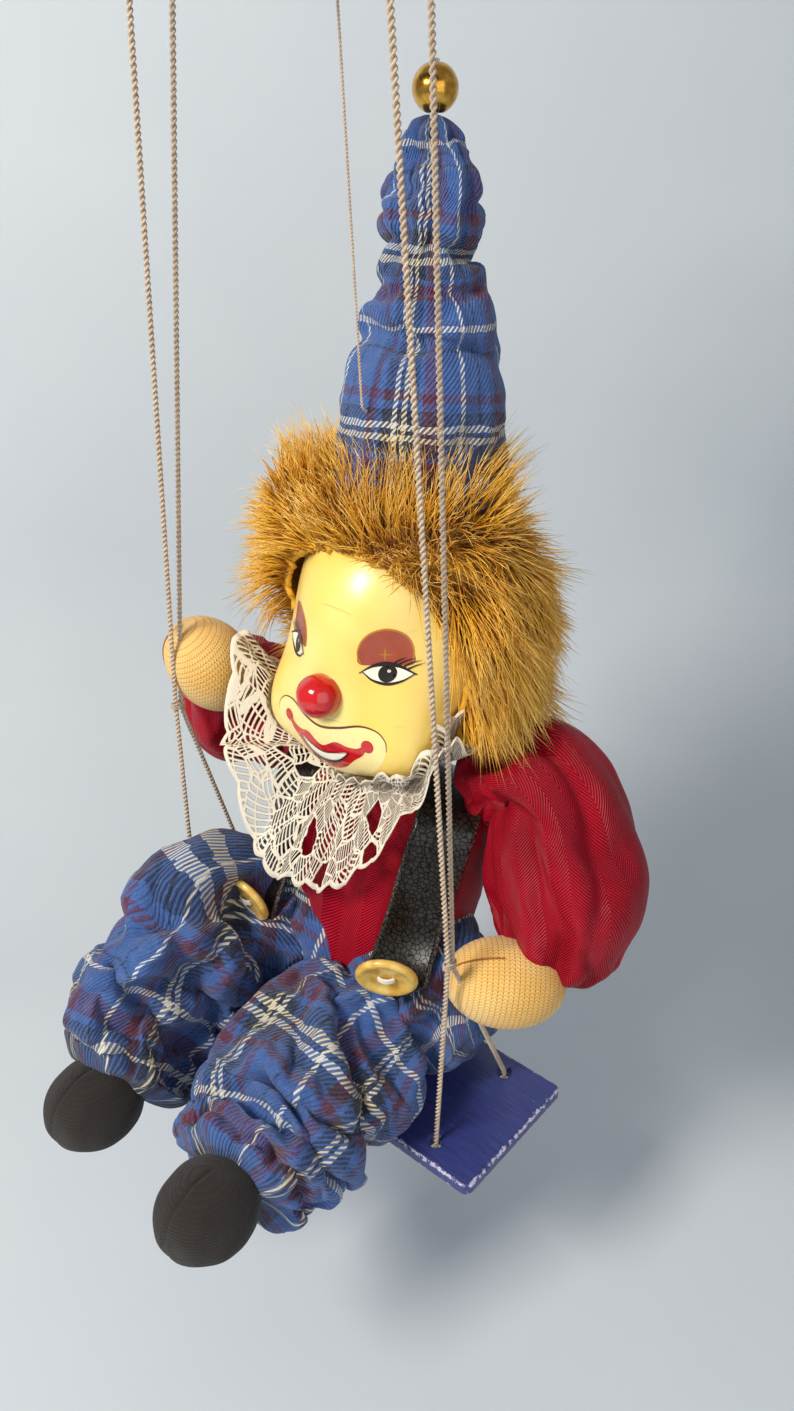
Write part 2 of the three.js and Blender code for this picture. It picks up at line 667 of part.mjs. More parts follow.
// Legs and shoes
const seatKeepOut = block(
  point(-seatLength, -seatDepth / 2 - gap, -far),
  point(seatLength, far, gap),
);
const behindLegs = block(point(-far, hipFrontY - gap, -far), point(far, far, far));
for (const [side, leg] of Object.entries(trouserLegs)) {
  const legGroup = new THREE.Group();
  const footGroup = new THREE.Group();
  swing.add(legGroup, footGroup);
  const [width, height] = [profile(leg.halfWidths), profile(leg.halfHeights)];
  const form = sweptForm({
    path: leg.path,
    section: (t, angle) => {
      const gather = THREE.MathUtils.smoothstep(t, cuffRufflesFrom, gatherFull);
      const ruffle = 1 + cuffRuffleDepth * Math.cos(cuffRuffles * angle) * gather;
      const share = roundEnds(t, ...trouserLegEnds) * ruffle;
      return [width(t) * share * Math.cos(angle), height(t) * share * Math.sin(angle)];
    },
    rings: 12,
    around: 16,
    across: point(1, 0, 0),
  });
  const shoeAt = shoeCentre[side];
  const ankle = shoeAt.clone().add(point(0, shoeHalfLength + gap, 0));
  const heel = ankle.clone().add(point(0, legDiameter / 2, 0));
  const root = point(shoeAt.x, hipFrontY - gap, leg.path[0].z);
  const reach = heel.clone().sub(root);
  const legForm = join(
    solidOf(rod(root, heel, legDiameter / 2, slimBar)),
    solidOf(round(heel, legDiameter / 2, coarseBall)),
  );
  const legLine = [root.clone().sub(reach), heel.clone().add(reach)];
  const legSpace = rod(...legLine, legDiameter / 2 + gap, slimBar);
  const shoeForm = ball(shoeAt, shoeHalfWidth, shoeHalfLength, shoeHalfHeight, ...shoeFacets);
  const shoeSpaces = turned(grown(shoeForm, gap), ankle, [-shoeSwing, 0, shoeSwing]);
  const crease = point(0, hipFrontY, leg.creaseHeight);
  const lifts = Array.from({ length: liftSteps + 1 }, (_, i) => (legLift * i) / liftSteps);
  const buttonSpaces = turned(buttonForm(side, 2 * gap), crease, lifts);
  const trouserLeg = cut(
    solidOf(form),
    solidOf(seatKeepOut),
    solidOf(behindLegs),
    solidOf(legSpace),
    ...shoeSpaces,
    ...strapSpaces,
    ...buttonSpaces,
  );
  add(`trouser_leg_${side}`, geometryOf(trouserLeg), bluePlaid, legGroup);
  add(`leg_${side}`, geometryOf(cut(legForm, solidOf(behindLegs))), creamJersey, legGroup);

  const weight = (extra) => round(shoeAt, shoeWeightDiameter / 2 + extra, coarseBall);
  const shoeOpening = rod(shoeAt, ankle, shoeOpeningDiameter / 2, slimBar);
  const shoe = cut(solidOf(shoeForm), solidOf(weight(gap)), solidOf(shoeOpening));
  add(`shoe_${side}`, geometryOf(shoe), blackJersey, footGroup);
  add(`shoe_weight_${side}`, weight(0), steel, footGroup);
}

// Head, hollow, on a neck with a ball end
const features = [
  { way: point(0, -0.5, -0.86), width: 0.56, height: 7.4 },
  { way: point(0.67, -0.64, -0.68), width: 0.31, height: 8.2 },
  { way: point(-0.67, -0.64, -0.68), width: 0.31, height: 8.2 },
  { way: point(0, -0.8, -0.6), width: 0.45, height: 4.2 },
  { way: point(0, -0.85, 0.5), width: 0.5, height: 0.5 },
  { way: point(0.5, -0.86, -0.02), width: 0.24, height: -1.6 },
  { way: point(-0.5, -0.86, -0.02), width: 0.24, height: -1.6 },
  { way: point(0.75, -0.6, 0.25), width: 0.38, height: -2.1 },
  { way: point(-0.75, -0.6, 0.25), width: 0.38, height: -2.1 },
];
function skullForm(facets, wall) {
  const form = merged(round(point(0, 0, 0), 1, facets));
  const { position } = form.attributes;
  for (let i = 0; i < position.count; i += 1) {
    const way = point(0, 0, 0).fromBufferAttribute(position, i);
    const extra = features.reduce(
      (sum, { way: centre, width, height }) => sum + height * Math.exp(-((way.angleTo(centre) / width) ** 2)),
      -wall,
    );
    const half = point(headHalfWidth + extra, headHalfDepth + extra, headHalfHeight + extra);
    position.setXYZ(i, ...way.multiply(half).add(headCentre));
  }
  return form;
}
const skull = skullForm([22, 16], 0);
const neckTop = headCentre.z - headHalfHeight + neckIntoSkull;
const headSolid = cut(
  join(
    solidOf(skull),
    solidOf(round(noseCentre, noseDiameter / 2, coarseBall)),
    solidOf(rod(neckPivot, neckPivot.clone().setZ(neckTop), neckDiameter / 2, fineBar)),
    solidOf(neckBall),
  ),
  solidOf(skullForm([12, 9], headWall)),
  solidOf(rod(neckPivot.clone().setZ(0), neckPivot.clone().setZ(headCentre.z), neckBoreDiameter / 2)),
);
const headGroup = new THREE.Group();
const neckGroup = new THREE.Group();
swing.add(neckGroup, headGroup);
add('head', geometryOf(headSolid), faceYellow, headGroup);

// Tied neck of the body cloth, above the ball
const neckRadius = neckDiameter / 2 + gap;
const ballShoulder = Math.sqrt((neckBallDiameter / 2) ** 2 - (neckDiameter / 2) ** 2);
const clothLow = neckPivot.z + ballShoulder + gap;
const groove = bindingWire / 2 + gap;
const clothOutline = [
  new THREE.Vector2(neckRadius, 0),
  new THREE.Vector2(neckRadius + neckClothThickness, 0),
  new THREE.Vector2(neckRadius + neckClothThickness, neckClothHeight / 2 - groove),
  new THREE.Vector2(neckRadius + neckClothThickness - groove, neckClothHeight / 2),
  new THREE.Vector2(neckRadius + neckClothThickness, neckClothHeight / 2 + groove),
  new THREE.Vector2(neckRadius + neckClothThickness, neckClothHeight),
  new THREE.Vector2(neckRadius, neckClothHeight),
  new THREE.Vector2(neckRadius, 0),
];
add('neck_cloth', new THREE.LatheGeometry(clothOutline, 16).rotateX(Math.PI / 2), crimson, neckGroup)
  .position.set(neckPivot.x, neckPivot.y, clothLow);
const bindingRadius = neckRadius + neckClothThickness + bindingWire / 2 - groove + 2 * gap;
add('neck_binding', new THREE.TorusGeometry(bindingRadius, bindingWire / 2, 6, 16), cordWhite, neckGroup)
  .position.set(neckPivot.x, neckPivot.y, clothLow + neckClothHeight / 2);

const headSpace = solidOf(grown(skull, gap));

// Lace collar, a gathered sheet from the neck to an edge given all round
const edgeAt = (column) => profile(collarEdge.map((entry) => [entry[0], entry[column]]));
const [edgeRadius, edgeHeight] = [edgeAt(1), edgeAt(2)];
const collarAround = collarWaves * 4;
const collarFace = (lift) => Array.from({ length: collarSteps + 1 }, (_, i) => {
  const s = i / collarSteps;
  return Array.from({ length: collarAround }, (_unused, j) => {
    const degrees = (360 * j) / collarAround - 180;
    const angle = THREE.MathUtils.degToRad(degrees);
    const drop = edgeHeight(degrees) - collarHeight;
    const radius = THREE.MathUtils.lerp(collarInside, edgeRadius(degrees), s);
    const wave = collarWave * s * Math.cos(collarWaves * angle);
    const height = collarHeight + drop * s ** collarDroop + wave + lift;
    return point(neckPivot.x + radius * Math.sin(angle), neckPivot.y - radius * Math.cos(angle), height);
  });
});
const collarRings = [...collarFace(collarThickness), ...collarFace(0).reverse()];
const collarIndex = [];
for (let i = 0; i < collarRings.length; i += 1) {
  for (let j = 0; j < collarAround; j += 1) {
    const at = (ring, step) => (ring % collarRings.length) * collarAround + (step % collarAround);
    collarIndex.push(at(i, j), at(i + 1, j), at(i + 1, j + 1), at(i, j), at(i + 1, j + 1), at(i, j + 1));
  }
}
const collar = new THREE.BufferGeometry();
collar.setAttribute(
  'position',
  new THREE.Float32BufferAttribute(collarRings.flat().flatMap((p) => [p.x, p.y, p.z]), 3),
);
collar.setIndex(collarIndex);
add('lace_collar', geometryOf(cut(solidOf(collar), headSpace, ...sleeveSpaces)), laceWhite);

// Hat, hollow, open below
const hatRadius = profile(hatRadii);
const hatForm = (wall, extra) => {
  const up = hatTip.clone().sub(hatBase).normalize();
  return sweptForm({
    path: [hatBase.clone().addScaledVector(up, -extra), hatTip.clone().addScaledVector(up, -3 * wall)],
    section: (t, angle) => {
      const r = (hatRadius(t) - wall) * roundEnds(t, ...hatEnds);
      return [r * Math.cos(angle), r * Math.sin(angle)];
    },
    rings: 16,
    around: 16,
    across: point(1, 0, 0),
  });
};
const hatOutside = hatForm(0, 0);
const hat = cut(solidOf(hatOutside), solidOf(hatForm(hatWall, hatOpenBelow)), headSpace);
add('hat', geometryOf(hat), bluePlaid, headGroup);
add('hat_bead', round(point(0, 0, 0), beadDiameter / 2, coarseBall), gold, headGroup)
  .position.copy(hatTip).add(point(0, 0, beadDiameter / 2 + gap));

// Wig: a rough outline with a tuft at its upper right, thinner at the lower right and longer at the
// lower left, hollow behind the head, open round the face and at the nape
const scatter = (i) => Math.abs(Math.sin(12.99 * (i + 1)) * 437.58) % 1;
const wigForm = merged(round(point(0, 0, 0), 1, [wigColumns, wigRows]));
const wigPlaces = wigForm.attributes.position;
for (let i = 0; i < wigPlaces.count; i += 1) {
  const way = point(0, 0, 0).fromBufferAttribute(wigPlaces, i);
  const low = THREE.MathUtils.smoothstep(-way.z, -0.1, 0.45);
  const thinning = wigThinning * Math.max(0, -way.x) * low;
  const hang = wigHang * THREE.MathUtils.smoothstep(way.x, 0.3, 0.8) * low;
  const tuft = wigTuft.height * Math.exp(-((way.angleTo(wigTuft.way) / wigTuft.width) ** 2));
  const half = point(wigHalfWidth + tuft, wigHalfDepth + tuft, wigHalfHeight + tuft);
  const share = 1 - wigRoughness * scatter(i) - thinning;
  const place = way.multiply(half).multiplyScalar(share).add(wigCentre);
  wigPlaces.setXYZ(i, place.x, place.y, place.z - hang);
}
function archway({ halfWidth, top, spring, back, flare }) {
  const outline = new THREE.Shape();
  outline.moveTo(-halfWidth, -far);
  outline.lineTo(halfWidth, -far);
  outline.lineTo(halfWidth, spring);
  outline.absellipse(0, spring, halfWidth, top - spring, 0, Math.PI);
  const cutter = new THREE.ExtrudeGeometry(outline, { depth: far, curveSegments: 8, bevelEnabled: false });
  const opening = merged(cutter.rotateX(Math.PI / 2).translate(0, back, 0));
  const { position } = opening.attributes;
  for (let i = 0; i < position.count; i += 1) {
    const widening = 1 + flare * (back - position.getY(i));
    position.setX(i, position.getX(i) * widening);
    position.setZ(i, spring + (position.getZ(i) - spring) * widening);
  }
  return opening;
}
const wigInside = ball(
  wigCentre.clone().add(point(0, 0, -wigThickness)),
  wigHalfWidth - wigThickness,
  wigHalfDepth - wigThickness,
  wigHalfHeight - wigThickness,
  ...wigInsideFacets,
);
const napeOpening = block(
  point(-nape.halfWidth, nape.front, -far),
  point(nape.halfWidth, nape.back, nape.top),
);
const wig = cut(
  solidOf(wigForm),
  solidOf(archway(faceWindow)),
  solidOf(wigInside),
  solidOf(napeOpening),
  headSpace,
  solidOf(grown(hatOutside, gap)),
  clothingSpace,
  solidOf(grown(collar, gap)),
  ...sleeveSpaces,
);
add('wig', geometryOf(wig), goldenFur, headGroup);

// Thread from the board to the hat
const threadKnotCentre = point(threadHole.x, threadHole.y, hangerTop + gap + threadKnotDiameter / 2);
add('head_thread', beadedTube([
  ...knot(threadKnotCentre, threadKnotDiameter, threadDiameter),
  [threadKnotCentre.clone().setZ(hangerHeight - gap), threadDiameter / 2],
  [threadEnd, threadDiameter / 2],
], 6), cordWhite);

const part = new THREE.Group();
part.add(figure);
figure.position.copy(hangPoint).negate();
part.userData.origin = hangPoint.toArray();
export default part;
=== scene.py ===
# A clown doll that sits on a swing seat, hung on four cords from a small board, an eye and a ring.
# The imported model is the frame. Shapes are written in millimetres from the middle of the seat's top
# face, and place() turns them into metres from the point inside the ring where a hook carries it.
import math
import random

import bmesh
import bpy
from mathutils import Matrix, Vector, noise
from mathutils.bvhtree import BVHTree


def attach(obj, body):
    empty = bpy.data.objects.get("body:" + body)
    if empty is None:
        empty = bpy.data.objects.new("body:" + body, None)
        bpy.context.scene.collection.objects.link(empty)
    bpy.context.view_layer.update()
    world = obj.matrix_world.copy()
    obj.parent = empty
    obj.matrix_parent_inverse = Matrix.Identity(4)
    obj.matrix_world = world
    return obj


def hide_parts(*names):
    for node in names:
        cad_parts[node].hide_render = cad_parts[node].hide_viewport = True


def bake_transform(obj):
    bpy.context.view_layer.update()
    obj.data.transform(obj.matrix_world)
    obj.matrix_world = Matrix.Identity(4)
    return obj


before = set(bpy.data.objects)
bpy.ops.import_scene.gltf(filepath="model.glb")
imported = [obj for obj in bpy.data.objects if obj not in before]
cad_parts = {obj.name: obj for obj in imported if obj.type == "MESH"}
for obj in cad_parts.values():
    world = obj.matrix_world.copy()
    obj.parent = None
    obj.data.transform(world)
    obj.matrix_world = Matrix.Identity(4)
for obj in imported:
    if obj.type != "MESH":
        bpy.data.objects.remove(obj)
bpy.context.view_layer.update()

hang_line, metres = (0, -4.4), 0.001
hang_point = Vector((*hang_line, 267.2))


def place(x, y, z):
    """A place in metres from the hanging point."""
    return (Vector((x, y, z)) - hang_point) * metres


# Camera, floor and lamps
# The camera looks 28 degrees down and stands 40.5 degrees round to the doll's left. A pale sheet
# serves as floor and backdrop, and large soft lamps light the doll from the front and above.
camera_stands, camera_lens, camera_down, camera_round = (143.3, -147.44, 203.3), 27.04, 28, 40.5
camera_data = bpy.data.cameras.new("camera")
camera_data.lens, camera_data.clip_start = camera_lens, 0.01
camera = bpy.data.objects.new("camera", camera_data)
camera.location = place(*camera_stands)
camera.rotation_euler = (math.radians(90 - camera_down), 0, math.radians(camera_round))
bpy.context.collection.objects.link(camera)
bpy.context.scene.camera = camera
bpy.context.scene.view_settings.view_transform = "Standard"


def lamp(name, power, size, stands, looks_at, colour):
    data = bpy.data.lights.new(name, "AREA")
    data.energy, data.size, data.color = power, size, colour
    holder = bpy.data.objects.new(name, data)
    holder.location = place(*stands)
    aim = place(*looks_at) - holder.location
    holder.rotation_euler = aim.to_track_quat("-Z", "Y").to_euler()
    bpy.context.collection.objects.link(holder)


lamp("key", 3.3, 0.16, (-60, -420, 430), (0, 0, 80), (1.0, 0.95, 0.87))
lamp("fill", 0.9, 0.5, (520, -260, 230), (0, 0, 80), (0.95, 0.97, 1.0))
lamp("behind", 1.3, 0.4, (-260, 420, 330), (0, 0, 100), (1.0, 1.0, 1.0))


class Wire:
    """A shader's socket that can stand in Python expressions."""

    def __init__(self, tree, socket=None):
        self.tree, self.socket = tree, socket

    def node(self, kind, inputs, output=0, **settings):
        """The output of a new node, with values or wires in its inputs."""
        made = self.tree.nodes.new(kind)
        for name, value in settings.items():
            setattr(made, name, value)
        for name, value in inputs.items():
            if isinstance(value, Wire):
                self.tree.links.new(value.socket, made.inputs[name])
            else:
                made.inputs[name].default_value = value
        return Wire(self.tree, made.outputs[output])

    def maths(self, operation, *values):
        inputs = dict(enumerate((self, *values)))
        return self.node("ShaderNodeMath", inputs, operation=operation)

    def __add__(self, other):
        return self.maths("ADD", other)

    def __sub__(self, other):
        return self.maths("SUBTRACT", other)

    def __mul__(self, other):
        return self.maths("MULTIPLY", other)

    def __truediv__(self, other):
        return self.maths("DIVIDE", other)

    def __rsub__(self, other):
        return self * -1 + other

    __radd__, __rmul__ = __add__, __mul__

    def __abs__(self):
        return self.maths("ABSOLUTE")

    def __lt__(self, other):
        return self.maths("LESS_THAN", other)

    def __gt__(self, other):
        return self.maths("GREATER_THAN", other)

    def least(self, other):
        return self.maths("MINIMUM", other)

    def most(self, other):
        return self.maths("MAXIMUM", other)

    def wrap(self, period):
        return self.maths("WRAP", period, 0.0)

    def swell(self, start, finish):
        """0 up to start, 1 past finish, smooth between."""
        inputs = {0: self, 1: start, 2: finish}
        return self.node("ShaderNodeMapRange", inputs, interpolation_type="SMOOTHSTEP")


def rgb(text):
    """A linear colour from the six digits that a paint chart gives."""
    values = [int(text[i : i + 2], 16) / 255 for i in (0, 2, 4)]
    return tuple(v / 12.92 if v <= 0.04045 else ((v + 0.055) / 1.055) ** 2.4 for v in values)


def blended(mask, low, high):
    """A wire between two colours, each of them a wire or the six digits of a paint."""
    inputs = {0: mask}
    for slot, colour in ((6, low), (7, high)):
        inputs[slot] = colour if isinstance(colour, Wire) else (*rgb(colour), 1)
    return mask.node("ShaderNodeMix", inputs, output=2, data_type="RGBA")


class Finish:
    """A material whose shader is set from named values and wires."""

    def __init__(self, name, **numbers):
        self.material = bpy.data.materials.new(name)
        self.material.use_nodes = True
        self.wire = Wire(self.material.node_tree)
        self.shader = self.material.node_tree.nodes["Principled BSDF"]
        for socket, value in numbers.items():
            self.shader.inputs[socket.replace("_", " ")].default_value = value

    def place(self):
        """Millimetres along x, y and z from the hanging point."""
        found = self.wire.node("ShaderNodeTexCoord", {}, output="Object")
        return self.scaled(found, 1000)

    def cloth(self):
        """Millimetres across and along a piece of cloth."""
        return self.wire.node("ShaderNodeUVMap", {}, uv_map="cloth")

    def scaled(self, vector, factor):
        return self.wire.node("ShaderNodeVectorMath", {0: vector, 3: factor}, operation="SCALE")

    def stretched(self, vector, factors):
        inputs = {0: vector, 1: factors}
        return self.wire.node("ShaderNodeVectorMath", inputs, operation="MULTIPLY")

    def parts(self, vector):
        return [self.wire.node("ShaderNodeSeparateXYZ", {0: vector}, output=i) for i in range(3)]

    def noise(self, vector, scale, detail=2.0, rough=0.5):
        inputs = {"Vector": vector, "Scale": scale, "Detail": detail, "Roughness": rough}
        return self.wire.node("ShaderNodeTexNoise", inputs)

    def mottle(self, scale, detail=2.0, rough=0.5):
        """Noise that is fixed to the object."""
        return self.noise(self.place(), scale, detail, rough)

    def cells(self, vector, scale, feature="DISTANCE_TO_EDGE", output=0):
        inputs = {"Vector": vector, "Scale": scale}
        return self.wire.node("ShaderNodeTexVoronoi", inputs, output, feature=feature)

    def coat(self, socket, wire):
        self.wire.tree.links.new(wire.socket, self.shader.inputs[socket])

    def tint(self, mask, low, high):
        """One colour where the mask is 0 and another where it is 1."""
        self.coat("Base Color", blended(mask, low, high))

    def relief(self, height, depth):
        """Bump of the given depth in millimetres."""
        inputs = {"Height": height, "Distance": depth * metres, "Strength": 1.0}
        self.coat("Normal", self.wire.node("ShaderNodeBump", inputs))


backdrop = Finish("backdrop", Roughness=0.9)
marble = backdrop.mottle(0.012, 3.0)
backdrop.tint(marble, "c3cbd2", "ced4d9")
backdrop.coat("Alpha", 1 - backdrop.wire.node("ShaderNodeNewGeometry", {}, output="Backfacing"))

floor_drop, wall_back, sweep_radius, floor_reach, sweep_steps = 62, 210, 120, 900, 12
sweep = []
for step in range(sweep_steps + 1):
    angle = math.pi / 2 * step / sweep_steps
    forward = wall_back - sweep_radius * (1 - math.sin(angle))
    height = sweep_radius * (1 - math.cos(angle)) - floor_drop
    sweep.append((forward, height))
sweep = [(-floor_reach, -floor_drop), *sweep, (wall_back, floor_reach)]
turn = Matrix.Rotation(math.radians(camera_round), 3, "Z")
sheet_mesh = bpy.data.meshes.new("floor")
sheet_points = [
    place(*(turn @ Vector((side * floor_reach, y, z)))) for y, z in sweep for side in (-1, 1)
]
sheet_faces = [(2 * i, 2 * i + 1, 2 * i + 3, 2 * i + 2) for i in range(len(sweep) - 1)]
sheet_mesh.from_pydata(sheet_points, [], sheet_faces)
sheet_mesh.polygons.foreach_set("use_smooth", [True] * len(sheet_faces))
sheet_mesh.materials.append(backdrop.material)
floor = bpy.data.objects.new("floor", sheet_mesh)
bpy.context.collection.objects.link(floor)

world = bpy.data.worlds.new("room")
world.use_nodes = True
bpy.context.scene.world = world
room_light = world.node_tree.nodes["Background"].inputs
room_light["Color"].default_value = (*rgb("e6e9ec"), 1)
room_light["Strength"].default_value = 0.38


# Cords
# Two-ply twisted cotton cords carry the seat. Each has a knot on the board above and another under
# the seat, and on the way down it is stitched to a hand together with its neighbour.
cord_diameter, cord_knot, cord_pitch, cord_step, knot_gap = 1.25, 4.4, 2.3, 0.16, 0.3
seat_thickness, seat_hole = 3.2, (40.7, 13.5)
board_hole, board_holes_forward = (27.8, 4.9), 10.4
board_underside, board_top = 236, 242
stitch_x, stitch_forward, stitch_apart = 41.6, 11.4, 0.775
stitch_height = {"left": 52, "right": 84.6}
sides = {"left": 1, "right": -1}


def mesh_object(name, form, finish):
    """An object from points in millimetres, faces and a cloth map of a place per face corner."""
    points, faces, *cloth = form
    mesh = bpy.data.meshes.new(name)
    mesh.from_pydata([place(*p) for p in points], [], faces)
    if cloth:
        layer = mesh.uv_layers.new(name="cloth")
        layer.data.foreach_set("uv", [value for corner in cloth[0] for value in corner])
    mesh.polygons.foreach_set("use_smooth", [True] * len(faces))
    mesh.materials.append(finish.material)
    piece = bpy.data.objects.new(name, mesh)
    bpy.context.collection.objects.link(piece)
    return piece


def new_piece(name, form, finish, body, slot, *nodes):
    """A piece that rides a body and stands for the nodes; the slot is not used."""
    piece = mesh_object(name, form, finish)
    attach(piece, body)
    if nodes:
        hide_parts(*nodes)
    return piece


def walk(points, step):
    """Places at even steps along straight lines from point to point."""
    found = [Vector(points[0])]
    for start, end in zip(points, points[1:]):
        start, end = Vector(start), Vector(end)
        count = max(1, round((end - start).length / step))
        found += [start.lerp(end, i / count) for i in range(1, count + 1)]
    return found


def rounded(points, times):
    """A line of places with its corners worn round."""
    line = [Vector(p) for p in points]
    for _ in range(times):
        inner = [(a + 2 * b + c) / 4 for a, b, c in zip(line, line[1:], line[2:])]
        line = [line[0], *inner, line[-1]]
    return line


def circle(count):
    """Even angles once round."""
    return [2 * math.pi * k / count for k in range(count)]


def tube_faces(rings, around):
    """Faces of a bar of rings of points, closed at both ends."""
    faces = []
    for row in range(0, (rings - 1) * around, around):
        for k in range(around):
            n, up = (k + 1) % around, row + around
            faces.append((row + k, row + n, up + n, up + k))
    faces.append(tuple(reversed(range(around))))
    faces.append(tuple((rings - 1) * around + k for k in range(around)))
    return faces


def strand(line, radius, around, offset=None):
    """A closed round bar along a line; offset gives its place beside the line."""
    points, angles = [], circle(around)
    reach, travelled, last = Vector((1, 0.3, 0)).normalized(), 0.0, len(line) - 1
    for i, here in enumerate(line):
        before = line[max(i - 1, 0)]
        along = (line[min(i + 1, last)] - before).normalized()
        reach = (reach - along * reach.dot(along)).normalized()
        second = along.cross(reach)
        travelled += (here - before).length
        middle = here + offset(travelled, reach, second) if offset else here
        for angle in angles:
            side_step = reach * radius * math.cos(angle)
            points.append(middle + side_step + second * radius * math.sin(angle))
    return points, tube_faces(len(line), around)


def merged(parts):
    """Several lists of points and faces made one."""
    points, faces = [], []
    for some, other in parts:
        faces += [tuple(i + len(points) for i in face) for face in other]
        points += list(some)
    return points, faces


def twisted(line, diameter, pitch, around=6):
    """Two plies wound round each other along a line."""
    parts, reach = [], diameter * 0.24
    for phase in (0, math.pi):

        def beside(travelled, first, second, phase=phase):
            turned = 2 * math.pi * travelled / pitch + phase
            return first * reach * math.cos(turned) + second * reach * math.sin(turned)

        parts.append(strand(line, diameter * 0.27, around, beside))
    return merged(parts)


def knot_line(centre, diameter, thread):
    """The line of a pulled overhand knot about an upright cord."""
    reach, steps, line = (diameter - thread) / 2, 60, []
    for i in range(steps + 1):
        angle = 2 * math.pi * i / steps
        across = 0.62 + 0.38 * math.cos(3 * angle)
        x = reach * across * math.cos(2 * angle)
        y = reach * across * math.sin(2 * angle)
        line.append(Vector(centre) + Vector((x, y, reach * 0.62 * math.sin(3 * angle))))
    return line


def taut_cord(line):
    """Adds up a cord's length along its line from knot to knot; the sum is not kept."""
    route = [place(*p) for p in line[::20]] + [place(*line[-1])]
    sum((b - a).length for a, b in zip(route, route[1:]))


cotton = Finish("twisted_cotton", Roughness=0.75, Sheen_Weight=0.25)
fibres = cotton.mottle(9.0, 3.0)
shade = cotton.mottle(0.35, 2.0)
cotton_colour = blended(shade.swell(0.35, 0.65), "ccb69e", "e0ceb6")
cotton.tint(fibres.swell(0.3, 0.7), "b8a086", cotton_colour)
cotton.relief(fibres, 0.12)

for side, sign in sides.items():
    for end, way in (("front", -1), ("back", 1)):
        top = (sign * board_hole[0], way * board_hole[1] - board_holes_forward)
        low = (sign * seat_hole[0], way * seat_hole[1])
        stitch = (sign * stitch_x, way * stitch_apart - stitch_forward)
        top_knot = (*top, board_top + knot_gap + cord_knot / 2)
        low_knot = (*low, -seat_thickness - knot_gap - cord_knot / 2)
        bends = [
            top_knot,
            (*top, board_underside - knot_gap),
            (*stitch, stitch_height[side] + 0.8),
            (*stitch, stitch_height[side] - 0.8),
            (*low, knot_gap),
            low_knot,
        ]
        line = rounded(walk(bends, cord_step), 30)
        plies, name = twisted(line, cord_diameter, cord_pitch), f"cord_{end}_{side}"
        piece = new_piece(f"twisted_{name}", plies, cotton, "swing", "cord", name)
        for part, centre in (("top", top_knot), ("low", low_knot)):
            loop = twisted(knot_line(centre, cord_knot, cord_diameter), 1.35, 2.6)
            new_piece(f"knot_{part}_{end}_{side}", loop, cotton, "swing", "cord")
        taut_cord(line)

# Head thread
# A finer thread from the board goes through the front of the hat and ends inside it, so that it
# steadies the head. The board end is knotted.
thread_diameter, thread_top = 0.6, (-3.9, 8.6)
thread_enters, thread_ends = (1.2, 8.4, 157.3), (0.6, 16.5, 152.0)
thread_knot = (*thread_top, board_top + knot_gap + 1.9)
thread_bends = [thread_knot, (*thread_top, board_underside), thread_enters, thread_ends]
line = rounded(walk(thread_bends, cord_step), 12)
piece = mesh_object("twisted_head_thread", twisted(line, thread_diameter, 1.3, 5), cotton)
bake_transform(piece)
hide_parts("head_thread")
loop = twisted(knot_line(thread_knot, 3.8, 1.0), 0.9, 1.8)
knot = new_piece("knot_head_thread", loop, cotton, "swing", "cord")
taut_cord(line)

# Hand stitches
# Thread wound three times round both cords holds each hand to its pair.
def wound(centre, wide, deep, rise, steps, turns=3):
    """The line of a thread wound round an upright middle."""
    line = []
    for i in range(turns * steps + 1):
        angle = 2 * math.pi * i / steps
        x, y = centre[0] + wide * math.cos(angle), centre[1] + deep * math.sin(angle)
        line.append(Vector((x, y, centre[2] + rise * (i / steps - turns / 2))))
    return line


for side, sign in sides.items():
    pair_middle = (sign * stitch_x, -stitch_forward, stitch_height[side])
    plies = twisted(wound(pair_middle, 0.98, 1.75, 0.55, 26), 0.5, 1.1, 5)
    new_piece(f"wound_stitch_{side}", plies, cotton, "swing", "cord", f"hand_stitch_{side}")


# Seat and hanger board
# Small wooden boards dipped in violet-blue paint, thin enough for the grain to show. The paint has
# rubbed off along the edges.
def worn_board(name, centre, half):
    """Paint for a board of known middle and half sizes, rubbed off towards its edges."""
    paint = Finish(name, Roughness=0.5, Coat_Weight=0.25, Coat_Roughness=0.3)
    spot = paint.place()
    middle = Vector(centre) - hang_point
    inside = [size - abs(at - mid) for at, mid, size in zip(paint.parts(spot), middle, half)]
    from_edge = inside[0].least(inside[1]).most(inside[0].most(inside[1]).least(inside[2]))
    grain = paint.noise(paint.stretched(spot, (0.09, 1.1, 1.1)), 1.6, 4.0, 0.6)
    chips = paint.noise(spot, 0.9, 4.0, 0.65)
    worn = 1 - (from_edge - (chips - 0.44) * 3.2).swell(0.05, 0.4)
    speck = chips.swell(0.66, 0.72) * grain.swell(0.5, 0.62) * 0.5
    base = blended(grain.swell(0.3, 0.75), "232a66", "3a4488")
    base = blended(chips.swell(0.3, 0.7), base, "2f3878")
    bare = blended(grain, "a9a6c9", "d9d4e4")
    paint.tint(worn.most(speck), base, bare)
    paint.coat("Roughness", 0.38 + worn * 0.4 + grain * 0.15)
    paint.relief(grain - worn * 0.5, 0.16)
    return paint


def recolour(name, finish):
    """Gives a node that stays as it is another finish."""
    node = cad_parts[name]
    node.data.materials.clear()
    node.data.materials.append(finish.material)


for name, centre, half in (
    ("swing_seat", (0, 0, -1.6), (54, 19, 1.6)),
    ("hanger_board", (*hang_line, 239), (37, 17, 3)),
):
    recolour(name, worn_board(f"paint_of_{name}", centre, half))

